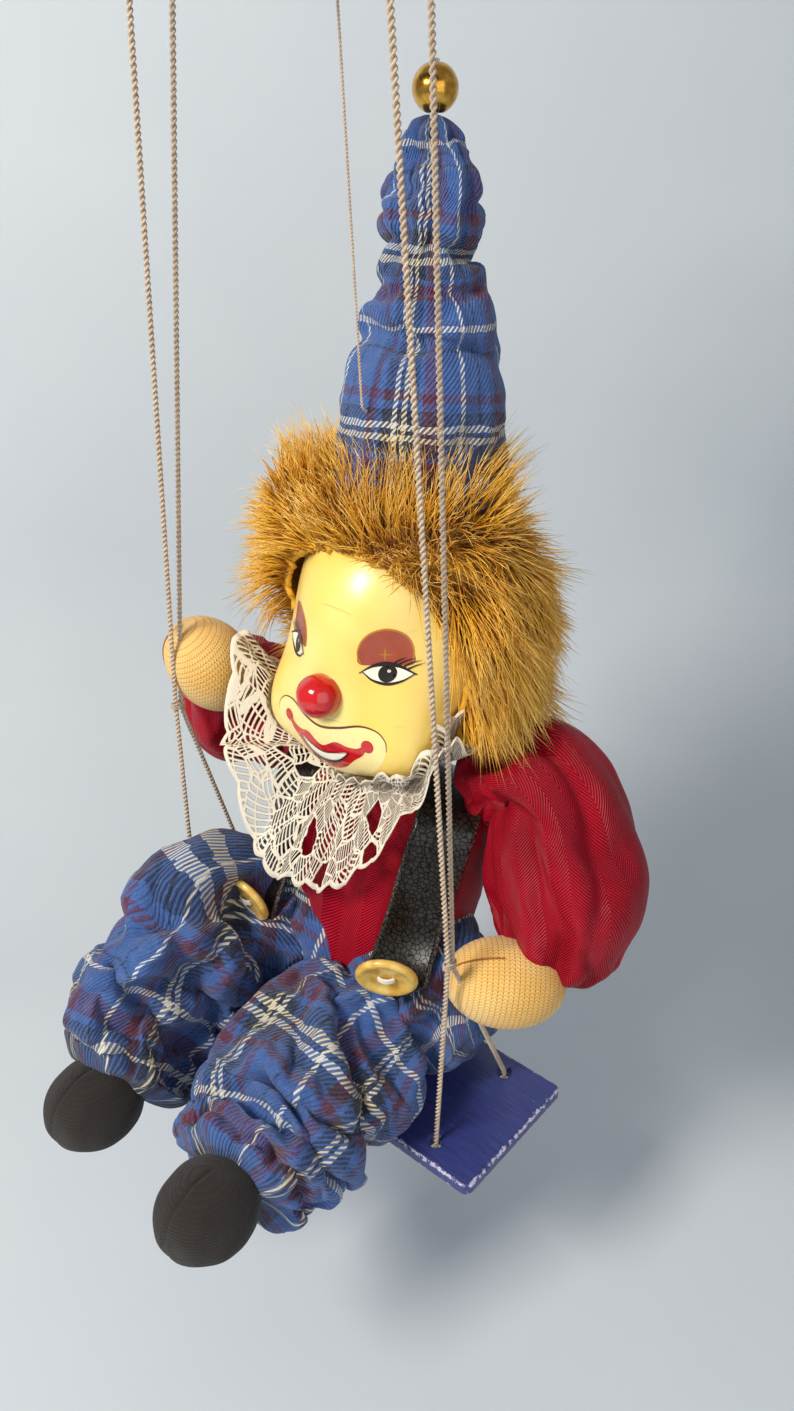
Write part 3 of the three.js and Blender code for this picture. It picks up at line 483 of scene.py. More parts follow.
# Eye screw and hanging ring
# Bright plated wire, bent round. The eye has a small collar and is screwed into the board.
plated = Finish("plated_wire", Metallic=1.0, Roughness=0.22)
scratch = plated.mottle(1.4, 3.0)
plated.tint(scratch, "b4b6bb", "d2d3d6")
plated.coat("Roughness", 0.16 + scratch * 0.16)


def ring_of_wire(centre, radius, wire, normal, around=64, sides_round=14):
    """A closed ring of round wire; its radius is to the middle of the wire."""
    points, faces = [], []
    first = Vector((0, 0, 1))
    second = Vector(normal).cross(first)
    for angle in circle(around):
        out = first * math.cos(angle) + second * math.sin(angle)
        for turned in circle(sides_round):
            reach = out * (radius + wire / 2 * math.cos(turned))
            points.append(Vector(centre) + reach + Vector(normal) * wire / 2 * math.sin(turned))
    for i in range(around):
        for k in range(sides_round):
            row, up = i * sides_round, (i + 1) % around * sides_round
            n = (k + 1) % sides_round
            faces.append((row + k, up + k, up + n, row + n))
    return points, faces


def lathed(centre, heights, around):
    """A round form about an upright line from pairs of height and radius, low end first."""
    points = [
        (centre[0] + radius * math.cos(angle), centre[1] + radius * math.sin(angle), height)
        for height, radius in heights
        for angle in circle(around)
    ]
    return points, tube_faces(len(heights), around)


eye_collar = [(238.0, 0.3), (238.3, 1.0), (242.3, 1.0), (242.3, 2.8), (242.5, 3.0), (243.3, 3.0)]
eye_collar += [(243.5, 2.8), (243.6, 1.2), (244.0, 1.0), (244.2, 0.3)]
eye = ring_of_wire((*hang_line, 248.0), 4.5, 2, (1, 0, 0), 48, 12)
eye_screw = merged([eye, lathed(hang_line, eye_collar, 24)])
new_piece("plated_eye_screw", eye_screw, plated, "swing", "steel", "eye_screw")
hanging_ring = ring_of_wire((*hang_line, 258.1), 9.1, 2.2, (0, 1, 0))
new_piece("plated_hanging_ring", hanging_ring, plated, "ring", "steel", "hanging_ring")

# Shirt
# The stuffed trunk wears a crimson herringbone shirt that is one with it, so the shirt stands for
# the stuffing too. The cloth bags a little over the trouser waist.
def curve_place(points, t):
    """A place on the smooth curve through the points, shared with the solids."""
    last = len(points) - 1
    k = min(int(t * last), last - 1)
    share = t * last - k
    b, c = points[k], points[k + 1]
    a = points[k - 1] if k else b * 2 - c
    d = points[k + 2] if k + 2 <= last else c * 2 - b
    before, here, after = ((q - p).length ** 0.5 for p, q in ((a, b), (b, c), (c, d)))
    leave = ((b - a) / before - (c - a) / (before + here) + (c - b) / here) * here
    arrive = ((c - b) / here - (d - b) / (here + after) + (d - c) / after) * here
    square, cube = share * share, share**3
    bend = (c - b) * 3 - leave * 2 - arrive
    twist = (b - c) * 2 + leave + arrive
    return b + leave * share + bend * square + twist * cube


def smooth(value, start=0.0, finish=1.0):
    """0 up to start, 1 past finish, smooth between."""
    share = min(1, max(0, (value - start) / (finish - start)))
    return share * share * (3 - 2 * share)


def profile(pairs):
    """A smooth value along 0 to 1 through pairs of place and value."""

    def at(t):
        k = 0
        while k < len(pairs) - 2 and t > pairs[k + 1][0]:
            k += 1
        (start, low), (finish, high) = pairs[k], pairs[k + 1]
        return low + (high - low) * smooth(t, start, finish)

    return at


def round_ends(t, start, finish=None):
    """0 at both ends, 1 between, round like a quarter circle over each end's share."""

    def quarter(s):
        return math.sqrt(max(0, 1 - (1 - min(1, s)) ** 2))

    return quarter(t / start) * quarter((1 - t) / (finish or start))


def squared(value, power):
    """A cosine or sine that draws a rounded rectangle in place of an ellipse."""
    return math.copysign(abs(value) ** power, value)


def pole_faces(rings, around):
    """Faces of a closed form that is a point, rings of points and a last point."""

    def at(i, j):
        return 1 + i * around + j % around

    faces, last = [], rings - 1
    for j in range(around):
        faces.append((0, at(0, j), at(0, j + 1)))
        faces.append((1 + rings * around, at(last, j + 1), at(last, j)))
        for i in range(last):
            faces.append((at(i, j), at(i + 1, j), at(i + 1, j + 1), at(i, j + 1)))
    return faces


def soft_tube(path, section, rings, around, across, girth):
    """A closed form swept along a path, with a cloth map that is girth millimetres round."""
    path = [Vector(p) for p in path]
    across = Vector(across)
    start, end = curve_place(path, 0), curve_place(path, 1)
    points, lengths, travelled, before = [start], [], 0.0, start
    for i in range(1, rings):
        t = (1 - math.cos(math.pi * i / rings)) / 2
        centre = curve_place(path, t)
        ahead, behind = min(1, t + 1e-4), max(0, t - 1e-4)
        along = (curve_place(path, ahead) - curve_place(path, behind)).normalized()
        over = across.cross(along).normalized()
        side = along.cross(over).normalized()
        travelled += (centre - before).length
        before = centre
        lengths.append(travelled)
        for angle in circle(around):
            x, y = section(t, angle)
            points.append(centre + side * x + over * y)
    cloth, first, last = [], lengths[0], lengths[-1]
    for j in range(around):
        near, far = girth * j / around, girth * (j + 1) / around
        cloth += [(near, first - 3), (near, first), (far, first)]
        cloth += [(near, last + 3), (far, last), (near, last)]
        for low, high in zip(lengths, lengths[1:]):
            cloth += [(near, low), (near, high), (far, high), (far, low)]
    return [*points, end], pole_faces(rings - 1, around), cloth


def outward(points, faces):
    """The direction out of the surface at each point."""
    found = [Vector() for _ in points]
    for face in faces:
        normal = (points[face[1]] - points[face[0]]).cross(points[face[2]] - points[face[0]])
        if len(face) == 4:
            normal += (points[face[2]] - points[face[0]]).cross(points[face[3]] - points[face[0]])
        for i in face:
            found[i] += normal
    return [n.normalized() if n.length else Vector((0, 0, 1)) for n in found]


def puckered(points, faces, height):
    """The points moved out of the surface by height(place) millimetres."""
    ways = outward(points, faces)
    return [p + way * height(p) for p, way in zip(points, ways)]


def pinched(t, angle, folds):
    """How far slanting folds draw a tube in; each is place, width, depth, way round, slant."""
    drawn = 1.0
    for middle, wide, depth, turned, slant in folds:
        apart = (t - middle - slant * math.sin(angle - turned)) / wide
        near_side = max(0, math.cos((angle - turned) / 2)) ** 3
        drawn *= 1 - depth * math.exp(-apart * apart) * near_side
    return drawn


def crumple(spot, size, seed):
    """A value from about -1 to 1 with sharp valleys and round ridges, like creased cloth."""
    here = Vector(spot) / size + Vector((seed, seed * 0.7, -seed))
    first = 1 - 2 * abs(noise.noise(here))
    second = 1 - 2 * abs(noise.noise(here * 2.1 + Vector((7, 3, 5))))
    return 0.68 * first + 0.32 * second - 0.55


def settled(points, faces, held, growth, pressure, reach, stiffness, fall=0.0, frames=26):
    """The places of a closed cloth form once its cloth has grown; where held(i, p), they stay."""
    scene, scale = bpy.context.scene, 0.02
    mesh = bpy.data.meshes.new("settling")
    mesh.from_pydata([p * scale for p in points], [], faces)
    form = bpy.data.objects.new("settling", mesh)
    bpy.context.collection.objects.link(form)
    group = form.vertex_groups.new(name="held")
    group.add([i for i, p in enumerate(points) if held(i, p)], 1.0, "REPLACE")
    modifier = form.modifiers.new("cloth", "CLOTH")
    cloth = modifier.settings
    cloth.quality, cloth.mass = 6, 0.15
    cloth.tension_stiffness = cloth.compression_stiffness = 15
    cloth.shear_stiffness, cloth.bending_stiffness = 5, stiffness
    cloth.shrink_min = -growth
    cloth.use_pressure, cloth.uniform_pressure_force = True, pressure
    cloth.vertex_group_mass = "held"
    cloth.effector_weights.gravity = fall
    modifier.collision_settings.use_self_collision = True
    modifier.collision_settings.self_distance_min = 0.006
    modifier.point_cache.frame_end = frames
    for number in range(1, frames + 1):
        scene.frame_set(number)
    graph = bpy.context.evaluated_depsgraph_get()
    moved = [v.co / scale for v in form.evaluated_get(graph).data.vertices]
    bpy.data.objects.remove(form)
    scene.frame_set(1)
    found = []
    for before, after in zip(points, moved):
        step = after - before
        found.append(before + step * min(1, reach / max(step.length, 1e-6)))
    return found


def refine(piece):
    """Finer facets on a settled cloth."""
    modifier = piece.modifiers.new("smooth cloth", "SUBSURF")
    modifier.levels = modifier.render_levels = 1


def twill(across, along, pitch):
    """1 on the raised ribs of a twill, falling to 0 between them."""
    return ((across + along) / pitch * 2 * math.pi).maths("SINE") * 0.5 + 0.5


crimson = Finish(
    "crimson_herringbone", Specular_IOR_Level=0.2, Sheen_Weight=0.02, Sheen_Roughness=0.35
)
crimson.shader.inputs["Sheen Tint"].default_value = (1.0, 0.35, 0.35, 1)
across, along, _ = crimson.parts(crimson.cloth())
rib = twill(across.maths("PINGPONG", 4.4), along, 0.74)
yarn = crimson.mottle(2.2, 3.0)
fade = crimson.mottle(0.06, 2.0).swell(0.3, 0.7)
# Painted shade: hollows between the herringbone ribs get a shaded crimson, the ribs a lit crimson.
crimson_shaded = blended(fade, "4c0008", "66030f")
crimson_lit = blended(fade, "ba0a28", "d41432")
thread_shade = rib.swell(0.25, 0.75) * 0.8 + yarn * 0.2
crimson.tint(thread_shade, crimson_shaded, crimson_lit)
crimson.coat("Roughness", 0.52 - rib * 0.14)
crimson.relief(rib + yarn * 0.4, 0.16)

trunk_path = [(0, 8, 12), (0, 10, 32), (0, 16, 54), (0, 20, 73)]
trunk_width = profile([(0, 20), (0.3, 26), (0.62, 28), (0.86, 29), (1, 24)])
trunk_depth = profile([(0, 15), (0.3, 17), (0.6, 18), (0.85, 17), (1, 13)])


def trunk_section(t, angle):
    fullness = round_ends(t, 0.2, 0.14)
    gather = 1 + 0.025 * math.cos(17 * angle) * (1 - smooth(t, 0.25, 0.6))
    return (
        trunk_width(t) * fullness * gather * squared(math.cos(angle), 0.85),
        trunk_depth(t) * fullness * gather * squared(math.sin(angle), 0.85),
    )


shirt, shirt_faces, cloth = soft_tube(trunk_path, trunk_section, 56, 96, (1, 0, 0), 154)
shirt = puckered(shirt, shirt_faces, lambda p: 0.7 * crumple(p, 17, 1.3) - 0.1)
form = (shirt, shirt_faces, cloth)
piece = new_piece(
    "crimson_shirt", form, crimson, "swing", "crimson_twill", "shirt", "body_stuffing"
)


# Trousers
# Baggy trousers of woven plaid twill, gathered at the cuffs. The hips sit on the seat and each leg
# folds over its front edge, so each leg is a piece of its own from the fold.
def plaid(name):
    """Plaid twill: each yarn colour of the warp crosses the same colours of the weft."""
    finish = Finish(name, Roughness=0.9, Sheen_Weight=0.15)
    across, along, _ = finish.parts(finish.cloth())
    sway = finish.mottle(0.35, 1.0)
    wave = twill(across, along, 1.15)
    warp_shown = 1 - wave.swell(0.5, 0.62) * 0.65
    weft_shown = 0.35 + wave.swell(0.38, 0.5) * 0.65
    bands = [(3.2, 3.9, "18233f"), (13.6, 17.4, "5a1028")]
    bands += [(18.4, 26.0, "12162a"), (27.6, 29.2, "5a1c3a")]
    pale_lines = ((8.4, "efede4"), (21.2, "ecdfb4"), (23.2, "e6e3d4"))
    yarns = []
    for value, shown in ((across, warp_shown), (along, weft_shown)):
        spot = (value + sway * 0.9).wrap(33.0)
        colour = blended(finish.mottle(0.12), "294c8e", "3f68ac")
        for low, high, tint in bands:
            colour = blended((spot > low) * (spot < high), colour, tint)
        for middle, tint in pale_lines:
            colour = blended((abs(spot - middle) < 0.55) * shown, colour, tint)
        yarns.append(colour)
    fuzz = finish.mottle(3.2, 3.0)
    brushed = finish.mottle(0.5, 3.0)
    woven = blended(0.2 + wave.swell(0.4, 0.6) * 0.6, *yarns)
    furrow = 1 - abs(wave - 0.5).swell(0.08, 0.3)
    woven = blended(furrow * 0.42, woven, "141c36")
    lint = fuzz.swell(0.4, 0.8) * 0.2 + brushed.swell(0.45, 0.75) * 0.12
    woven = blended(lint, woven, "7b95c4")
    finish.coat("Base Color", woven)
    finish.relief(wave * 0.8 + fuzz, 0.3)
    return finish


plaid_cloth = plaid("blue_plaid_twill")
facets_round = 72
hips_path = [(37, 8, 12), (18, 8, 20), (-14, 8, 25), (-36, 6, 34)]
hips_height = profile([(0, 12), (0.3, 22), (0.7, 27), (1, 20)])
hips_depth = profile([(0, 15), (0.3, 19), (0.7, 19), (1, 15)])
hip_front = -10


def hips_section(t, angle):
    fullness = round_ends(t, 0.3)
    return (
        hips_depth(t) * fullness * squared(math.cos(angle), 0.75),
        hips_height(t) * fullness * squared(math.sin(angle), 0.85),
    )


def settled_on_seat(p):
    """A place kept above the seat, or in front of it where that is nearer."""
    over_seat, front = 0.35, -19.4
    if p.z >= over_seat or p.y <= front:
        return p
    if over_seat - p.z < p.y - front:
        return Vector((p.x, p.y, over_seat))
    return Vector((p.x, front, p.z))


def ends(points, first, last):
    """The rule for settled() that holds the first and last rings of a soft tube."""
    low, high = first * facets_round, len(points) - last * facets_round
    return lambda i, p: i < low or i > high


hips, hips_faces, cloth = soft_tube(
    hips_path, hips_section, 56, facets_round, (0, 1, 0), 136
)
hips = puckered(
    hips, hips_faces, lambda p: 1.9 * crumple(p, 13, 4.1) + 0.7 * crumple(p, 6, 2.2) - 0.4
)
hips = settled(
    hips,
    hips_faces,
    lambda i, p: p.z < 1.5 or p.y < hip_front - 1,
    growth=0.25,
    pressure=0.35,
    reach=3.5,
    stiffness=0.08,
)
hips = [
    settled_on_seat(Vector((p.x, max(p.y, hip_front + 0.25 * (p.y - hip_front)), p.z)))
    for p in hips
]
form = (hips, hips_faces, cloth)
piece = new_piece("plaid_trouser_hips", form, plaid_cloth, "swing", "blue_plaid", "trouser_hips")
refine(piece)

leg_forms = {
    "left": {
        "path": [(17, -4, 16), (15, -24, 14), (15, -40, 9), (17.5, -54, 6)],
        "widths": [(0, 16), (0.5, 18), (0.9, 15), (1, 16)],
        "heights": [(0, 15.6), (0.5, 20), (0.9, 19), (1, 20)],
        "folds": [
            (0.30, 0.035, 0.30, -0.9, 0.16),
            (0.47, 0.03, 0.26, -0.3, -0.14),
            (0.60, 0.035, 0.30, -1.3, 0.12),
            (0.73, 0.03, 0.26, -0.5, -0.10),
            (0.42, 0.04, 0.22, 1.2, 0.10),
            (0.70, 0.04, 0.2, 2.4, 0.10),
        ],
        "seed": 3.7,
    },
    "right": {
        "path": [(-21.5, -4, 19), (-23, -22, 30), (-22.5, -38, 21), (-20, -54, 11)],
        "widths": [(0, 14), (0.5, 15), (0.9, 13), (1, 14.5)],
        "heights": [(0, 16), (0.35, 25), (0.8, 20), (1, 17)],
        "folds": [
            (0.26, 0.035, 0.26, -0.6, 0.14),
            (0.42, 0.03, 0.30, -1.2, -0.16),
            (0.57, 0.035, 0.26, -0.2, 0.14),
            (0.71, 0.03, 0.28, -1.0, 0.10),
            (0.50, 0.04, 0.22, 0.8, -0.10),
            (0.66, 0.04, 0.2, 2.4, 0.10),
        ],
        "seed": 8.9,
    },
}
pressed_by_button = Vector((-17.8, -17, 41))
for side, form in leg_forms.items():
    width, height = profile(form["widths"]), profile(form["heights"])

    def leg_section(t, angle, width=width, height=height, folds=form["folds"]):
        frill = smooth(t, 0.84, 0.97)
        ruffle = 1 + 0.07 * math.cos(11 * angle + 1.5 * math.sin(2 * angle)) * frill
        cord_in = 1 - 0.16 * math.exp(-(((t - 0.93) / 0.025) ** 2))
        fullness = round_ends(t, 0.1, 0.05) * ruffle * cord_in
        fullness *= pinched(t, (angle + math.pi / 2) % (2 * math.pi) - math.pi / 2, folds)
        return width(t) * fullness * math.cos(angle), height(t) * fullness * math.sin(angle)

    def leg_pucker(p, seed=form["seed"]):
        pressed = math.exp(-(((p - pressed_by_button).length / 11) ** 2))
        return 4.2 * crumple(p, 20, seed) + 1.2 * crumple(p, 8, seed + 3) + 1.0 - 10 * pressed

    path = form["path"]
    points, faces, cloth = soft_tube(path, leg_section, 58, facets_round, (1, 0, 0), 130)
    points = puckered(points, faces, leg_pucker)
    held = ends(points, 9, 7)
    points = settled(
        points, faces, held, growth=0.3, pressure=0.12, reach=4.5, stiffness=0.04, fall=0.1
    )
    form = ([settled_on_seat(p) for p in points], faces, cloth)
    name, leg = f"trouser_leg_{side}", f"leg_{side}"
    piece = new_piece(f"plaid_{name}", form, plaid_cloth, leg, "blue_plaid", name, leg)
    refine(piece)

# Shoes
# Stuffed balls of black-brown jersey with a seam down the front. The steel ball inside is a node of
# its own and keeps its plain finish.
jersey_black = Finish("black_brown_jersey", Roughness=0.95, Sheen_Weight=0.1)
up_shoe = jersey_black.parts(jersey_black.place())[2]
knit = jersey_black.mottle(3.4, 2.0)
ribs = ((up_shoe + knit * 0.9) * (2 * math.pi / 0.62)).maths("SINE") * 0.5 + 0.5
lint = jersey_black.mottle(1.5, 4.0, 0.7)
jersey_colour = blended(ribs * 0.35 + knit * 0.65, "1a1513", "2d2622")
jersey_black.tint(lint.swell(0.62, 0.8) * 0.35, jersey_colour, "57493f")
jersey_black.relief(ribs * 0.6 + knit * 1.2, 0.14)

shoe_half = Vector((10.4, 11.4, 10.2))
shoe_centres = {"left": Vector((20.5, -63.5, 9.8)), "right": Vector((-19.5, -62.5, 10.6))}


def ball(centre, half, around, rows, dent=lambda way: 0):
    """A closed ball of rings with its poles up and down."""
    centre, half = Vector(centre), Vector(half)
    ways = [Vector((0, 0, 1))]
    for i in range(1, rows):
        tilt = math.pi * i / rows
        for turned in circle(around):
            x, y = math.sin(tilt) * math.cos(turned), math.sin(tilt) * math.sin(turned)
            ways.append(Vector((x, y, math.cos(tilt))))
    ways.append(Vector((0, 0, -1)))
    points = []
    for way in ways:
        extra = dent(way)
        points.append(centre + Vector([w * (h + extra) for w, h in zip(way, half)]))
    return points, pole_faces(rows - 1, around)


def shoe_dent(way):
    seam = math.exp(-((way.x / 0.035) ** 2)) * (0.4 if way.y < 0.2 else 0)
    return 0.35 * noise.noise(way * 2.2) - seam


for side, centre in shoe_centres.items():
    form, name = ball(centre, shoe_half, 96, 60, shoe_dent), f"shoe_{side}"
    piece = new_piece(f"jersey_{name}", form, jersey_black, f"foot_{side}", "black_jersey", name)
    recolour(f"shoe_weight_{side}", plated)


# Straps
# Braces cut from black grained leatherette, pointed in front, drawn over the shirt from the trouser
# front to the trouser back. Their raw edges are paler.
leatherette = Finish("black_leatherette", Specular_IOR_Level=0.15, Coat_Roughness=0.22)
strap_across = leatherette.parts(leatherette.cloth())[0]
pores = leatherette.mottle(2.6, 4.0, 0.6)
wrinkle_place = leatherette.stretched(leatherette.place(), (0.5, 1.0, 1.7))
wrinkles = leatherette.noise(wrinkle_place, 0.8, 4.0, 0.65)
pebble = (leatherette.cells(leatherette.place(), 0.85) + pores * 0.12).swell(0.02, 0.22)
raw_edge = abs(strap_across).swell(6.1, 6.8) * pores.swell(0.42, 0.55) * 0.85
# Painted shade: the grooves of the grain are near-black and the pebbles dark brown-grey.
shaded_grain_colour = blended(pebble * 0.7 + wrinkles * 0.3, "040303", "332e29")
leatherette.tint(raw_edge, shaded_grain_colour, "8d8478")
leatherette.coat("Roughness", 0.28 + pores * 0.24)
leatherette.coat("Coat Weight", pebble * 0.9)
leatherette.relief(pebble * 1.6 + wrinkles.swell(0.3, 0.7), 1.1)

strap_width, strap_thickness, strap_columns, strap_steps = 14, 0.9, 13, 150
strap_lines = {"left": (16.5, 27.6, 32), "right": (17.8, 18.2, 0)}
strap_tip, strap_square, strap_shoulder = 31, 36, 78
strap_axis = Vector((0, 12, 42))
body_tree = BVHTree.FromPolygons(*merged([(shirt, shirt_faces), (hips, hips_faces)]))


def levelled(values):
    """Values with each but the first and last made the mean of three."""
    means = [(a + b + c) / 3 for a, b, c in zip(values, values[1:], values[2:])]
    return [values[0], *means, values[-1]]


def strap_hit(share, way, low, high, beside):
    """Where a ray in to the middle of the trunk meets the clothes, at a share of the width."""
    height, hit = strap_axis.z, None
    for _ in range(3):
        rise = min(1, max(0, (height - strap_square) / (strap_shoulder - strap_square)))
        across = low + (high - low) * rise + share * strap_width / 2
        start = strap_axis + (beside * (across - beside.dot(strap_axis)) + way * 80)
        hit = body_tree.ray_cast(start, -way)[0]
        if hit is None:
            return None
        height = hit.z
    return hit


def strap_rows(side):
    """Rows of places, level across the strap and drawn tight over the hollows of the clothes."""
    low, high, facing = strap_lines[side]
    sign, turned = sides[side], math.radians(facing)
    ahead = Vector((sign * math.sin(turned), -math.cos(turned), 0))
    beside = Vector((math.cos(turned), sign * math.sin(turned), 0))
    low, high, centre_column = low * sign, high * sign, strap_columns // 2
    angles = [math.radians(-26 + 232 * i / strap_steps) for i in range(strap_steps + 1)]
    ways = [ahead * math.cos(angle) + Vector((0, 0, math.sin(angle))) for angle in angles]
    shares = [2 * c / (strap_columns - 1) - 1 for c in range(strap_columns)]
    found, spots = [], []
    for way in ways:
        hits = [strap_hit(share, way, low, high, beside) for share in shares]
        whole = [hit for hit in hits if hit is not None]
        spare = sum(whole, Vector()) / len(whole) if whole else strap_axis + way * 20
        hits = [hit if hit is not None else spare for hit in hits]
        found.append([way.dot(hit - strap_axis) for hit in hits])
        middle = beside.dot(hits[centre_column])
        spots.append([middle + share * strap_width / 2 for share in shares])
    slopes = [
        sum(share * r for share, r in zip(shares, reach)) / sum(share**2 for share in shares)
        for reach in found
    ]
    slopes = [min(3, max(-3, slope)) for slope in slopes]
    for _ in range(40):
        slopes = levelled(slopes)
    needed = [
        max(r - slope * share for share, r in zip(shares, reach))
        for slope, reach in zip(slopes, found)
    ]
    worn = needed
    for _ in range(60):
        worn = [max(w, r) for w, r in zip(levelled(worn), needed)]
    for _ in range(8):
        worn = levelled(worn)
    rows = []
    for way, reach, slope, places in zip(ways, worn, slopes, spots):
        row = []
        for share, across in zip(shares, places):
            spot = strap_axis + way * (reach + slope * share + 0.1)
            row.append(spot + beside * (across - beside.dot(spot)))
        rows.append(row)
    kept = [i for i, row in enumerate(rows) if row[centre_column].z > strap_tip - 0.5]
    rows = rows[kept[0] : kept[-1] + 1]
    for row in rows:
        middle = row[centre_column]
        if middle.y < strap_axis.y and middle.z < strap_square:
            narrow = max(0.06, (middle.z - strap_tip) / (strap_square - strap_tip))
            row[:] = [middle + (p - middle) * narrow for p in row]
    return rows


def slab(rows, thickness, lift=0.0):
    """A closed sheet of the given thickness on a grid of places, outer face first."""
    columns, flat = len(rows[0]), [p for row in rows for p in row]
    grid = [
        (i * columns + c, i * columns + c + 1, (i + 1) * columns + c + 1, (i + 1) * columns + c)
        for i in range(len(rows) - 1)
        for c in range(columns - 1)
    ]
    ways = outward(flat, grid)
    size = len(flat)
    points = [p + way * (lift + thickness) for p, way in zip(flat, ways)]
    points += [p + way * lift for p, way in zip(flat, ways)]
    faces = grid + [tuple(i + size for i in reversed(face)) for face in grid]
    rim = list(range(columns))
    rim += [i * columns + columns - 1 for i in range(1, len(rows))]
    rim += [size - 1 - c for c in range(1, columns)]
    rim += [i * columns for i in range(len(rows) - 2, 0, -1)]
    for here, after in zip(rim, rim[1:] + rim[:1]):
        faces.append((after, here, here + size, after + size))
    return points, faces


def strap_cloth(rows, faces):
    """Cloth corners for a strap: across from its middle, and along its length."""
    travelled, columns = [0.0], strap_columns
    for before, row in zip(rows, rows[1:]):
        travelled.append(travelled[-1] + (row[columns // 2] - before[columns // 2]).length)
    size = len(rows) * columns
    return [
        (strap_width * (i % size % columns / (columns - 1) - 0.5), travelled[i % size // columns])
        for face in faces
        for i in face
    ]


for side in sides:
    rows, name = strap_rows(side), f"strap_{side}"
    points, faces = slab(rows, strap_thickness, 0.15)
    form = (points, faces, strap_cloth(rows, faces))
    new_piece(f"leatherette_{name}", form, leatherette, "swing", "black_leather", name)

# Buttons
# Cream plastic buttons with a raised rim and a dished middle, sewn on with white thread.
button_plastic = Finish("cream_plastic", Roughness=0.28, Coat_Weight=0.4, Subsurface_Weight=0.1)
swirl = button_plastic.mottle(0.35, 3.0)
button_plastic.tint(swirl.swell(0.3, 0.7), "d29a35", "edc56a")
button_plastic.coat("Roughness", 0.22 + swirl * 0.2)


def thread_finish(name, low, high, **numbers):
    finish = Finish(name, Roughness=0.8, **numbers)
    fuzz = finish.mottle(6.0, 3.0)
    finish.tint(fuzz, low, high)
    finish.relief(fuzz, 0.1)
    return finish


white_thread = thread_finish("white_thread", "cfc6b6", "f1ece0", Sheen_Weight=0.2)
button_spots = {
    "left": ((28.6, -16.6, 44.5), (0.5, -0.8, -0.33)),
    "right": ((-17.8, -14.9, 41), (0, -0.956, -0.29)),
}
button_profile = [
    (-1.1, 0.01), (-1.1, 4.6), (-0.9, 6.0), (-0.4, 6.75), (0.1, 6.9), (0.6, 6.8), (1.0, 6.4),
    (1.1, 5.9), (1.0, 5.3), (0.7, 4.8), (0.45, 4.2), (0.35, 3.0), (0.3, 0.01),
]
for side, (centre, facing) in button_spots.items():
    centre = Vector(centre)
    lean = Vector(facing).to_track_quat("Z", "Y").to_matrix()

    def fixed(form, lean=lean, centre=centre):
        return [lean @ Vector(p) + centre for p in form[0]], form[1]

    form, name = fixed(lathed((0, 0), button_profile, 72)), f"button_{side}"
    new_piece(f"cream_{name}", form, button_plastic, "swing", "cream_button", name)
    parts = []
    for across_thread in (-0.45, 0, 0.45):
        line = [
            Vector((x, across_thread * (1.2 - 0.1 * abs(x)), 0.35 + 0.75 * math.cos(x * 0.78)))
            for x in [-1.8 + 3.6 * k / 16 for k in range(17)]
        ]
        parts.append(strand(line, 0.3, 8))
    new_piece(f"button_thread_{side}", fixed(merged(parts)), white_thread, "swing", "cord")

# Hands
# Stuffed mitts of yellow-beige jersey on thin arms. One line of brown stitching marks the thumb.
jersey = Finish("cream_jersey", Roughness=0.9, Sheen_Weight=0.25)
across, along, _ = jersey.parts(jersey.cloth())
from_column = abs((along / 1.15).wrap(1.0) - 0.5) * 2
columns = 1 - from_column.swell(0.7, 1.0)
rows_of_loops = ((across + from_column * 0.5) * (2 * math.pi / 0.85)).maths("SINE") * 0.5 + 0.5
hand_shade = jersey.mottle(0.09, 2.0).swell(0.3, 0.7)
knit = columns * 0.45 + rows_of_loops * 0.55
jersey_dark = blended(hand_shade, "b97c2c", "c88f42")
jersey_light = blended(hand_shade, "f5c468", "fbd586")
jersey.tint(knit, jersey_dark, jersey_light)
jersey.relief(knit + jersey.mottle(3.0, 2.0) * 0.5, 0.2)
brown_thread = thread_finish("brown_thread", "8a4a16", "b46a2a")

hand_centres = {"left": Vector((46.4, 2.6, 40.4)), "right": Vector((-40.6, -1.2, 92))}
hand_axes = {"left": Vector((0.74, 0.64, -0.12)), "right": Vector((0.15, 0.5, -0.85))}
arm_paths = {
    "left": [(51, 13, 44), (48, 20, 58), (38, 24, 71), (20, 22, 67)],
    "right": [(-42, 10, 80), (-38, 17, 71), (-30, 20, 66), (-20, 20, 61)],
}
hand_radius, hand_half_length, arm_radius = 10, 13.5, 5
thumb_ways = {"left": Vector((-0.25, -0.55, 0.8)), "right": Vector((-0.55, -0.75, 0.35))}


def hand_section(t, angle):
    reach = hand_radius * round_ends(t, 0.5)
    crease = 0.35 * math.exp(-(((math.cos(angle - 2.2) - 0.2) / 0.05) ** 2)) * smooth(t, 0.05, 0.2)
    reach -= crease * (1 - smooth(t, 0.55, 0.75))
    return reach * math.cos(angle), reach * math.sin(angle)


def arm_section(t, angle):
    reach = arm_radius * round_ends(t, 0.05)
    return reach * math.cos(angle), reach * math.sin(angle)


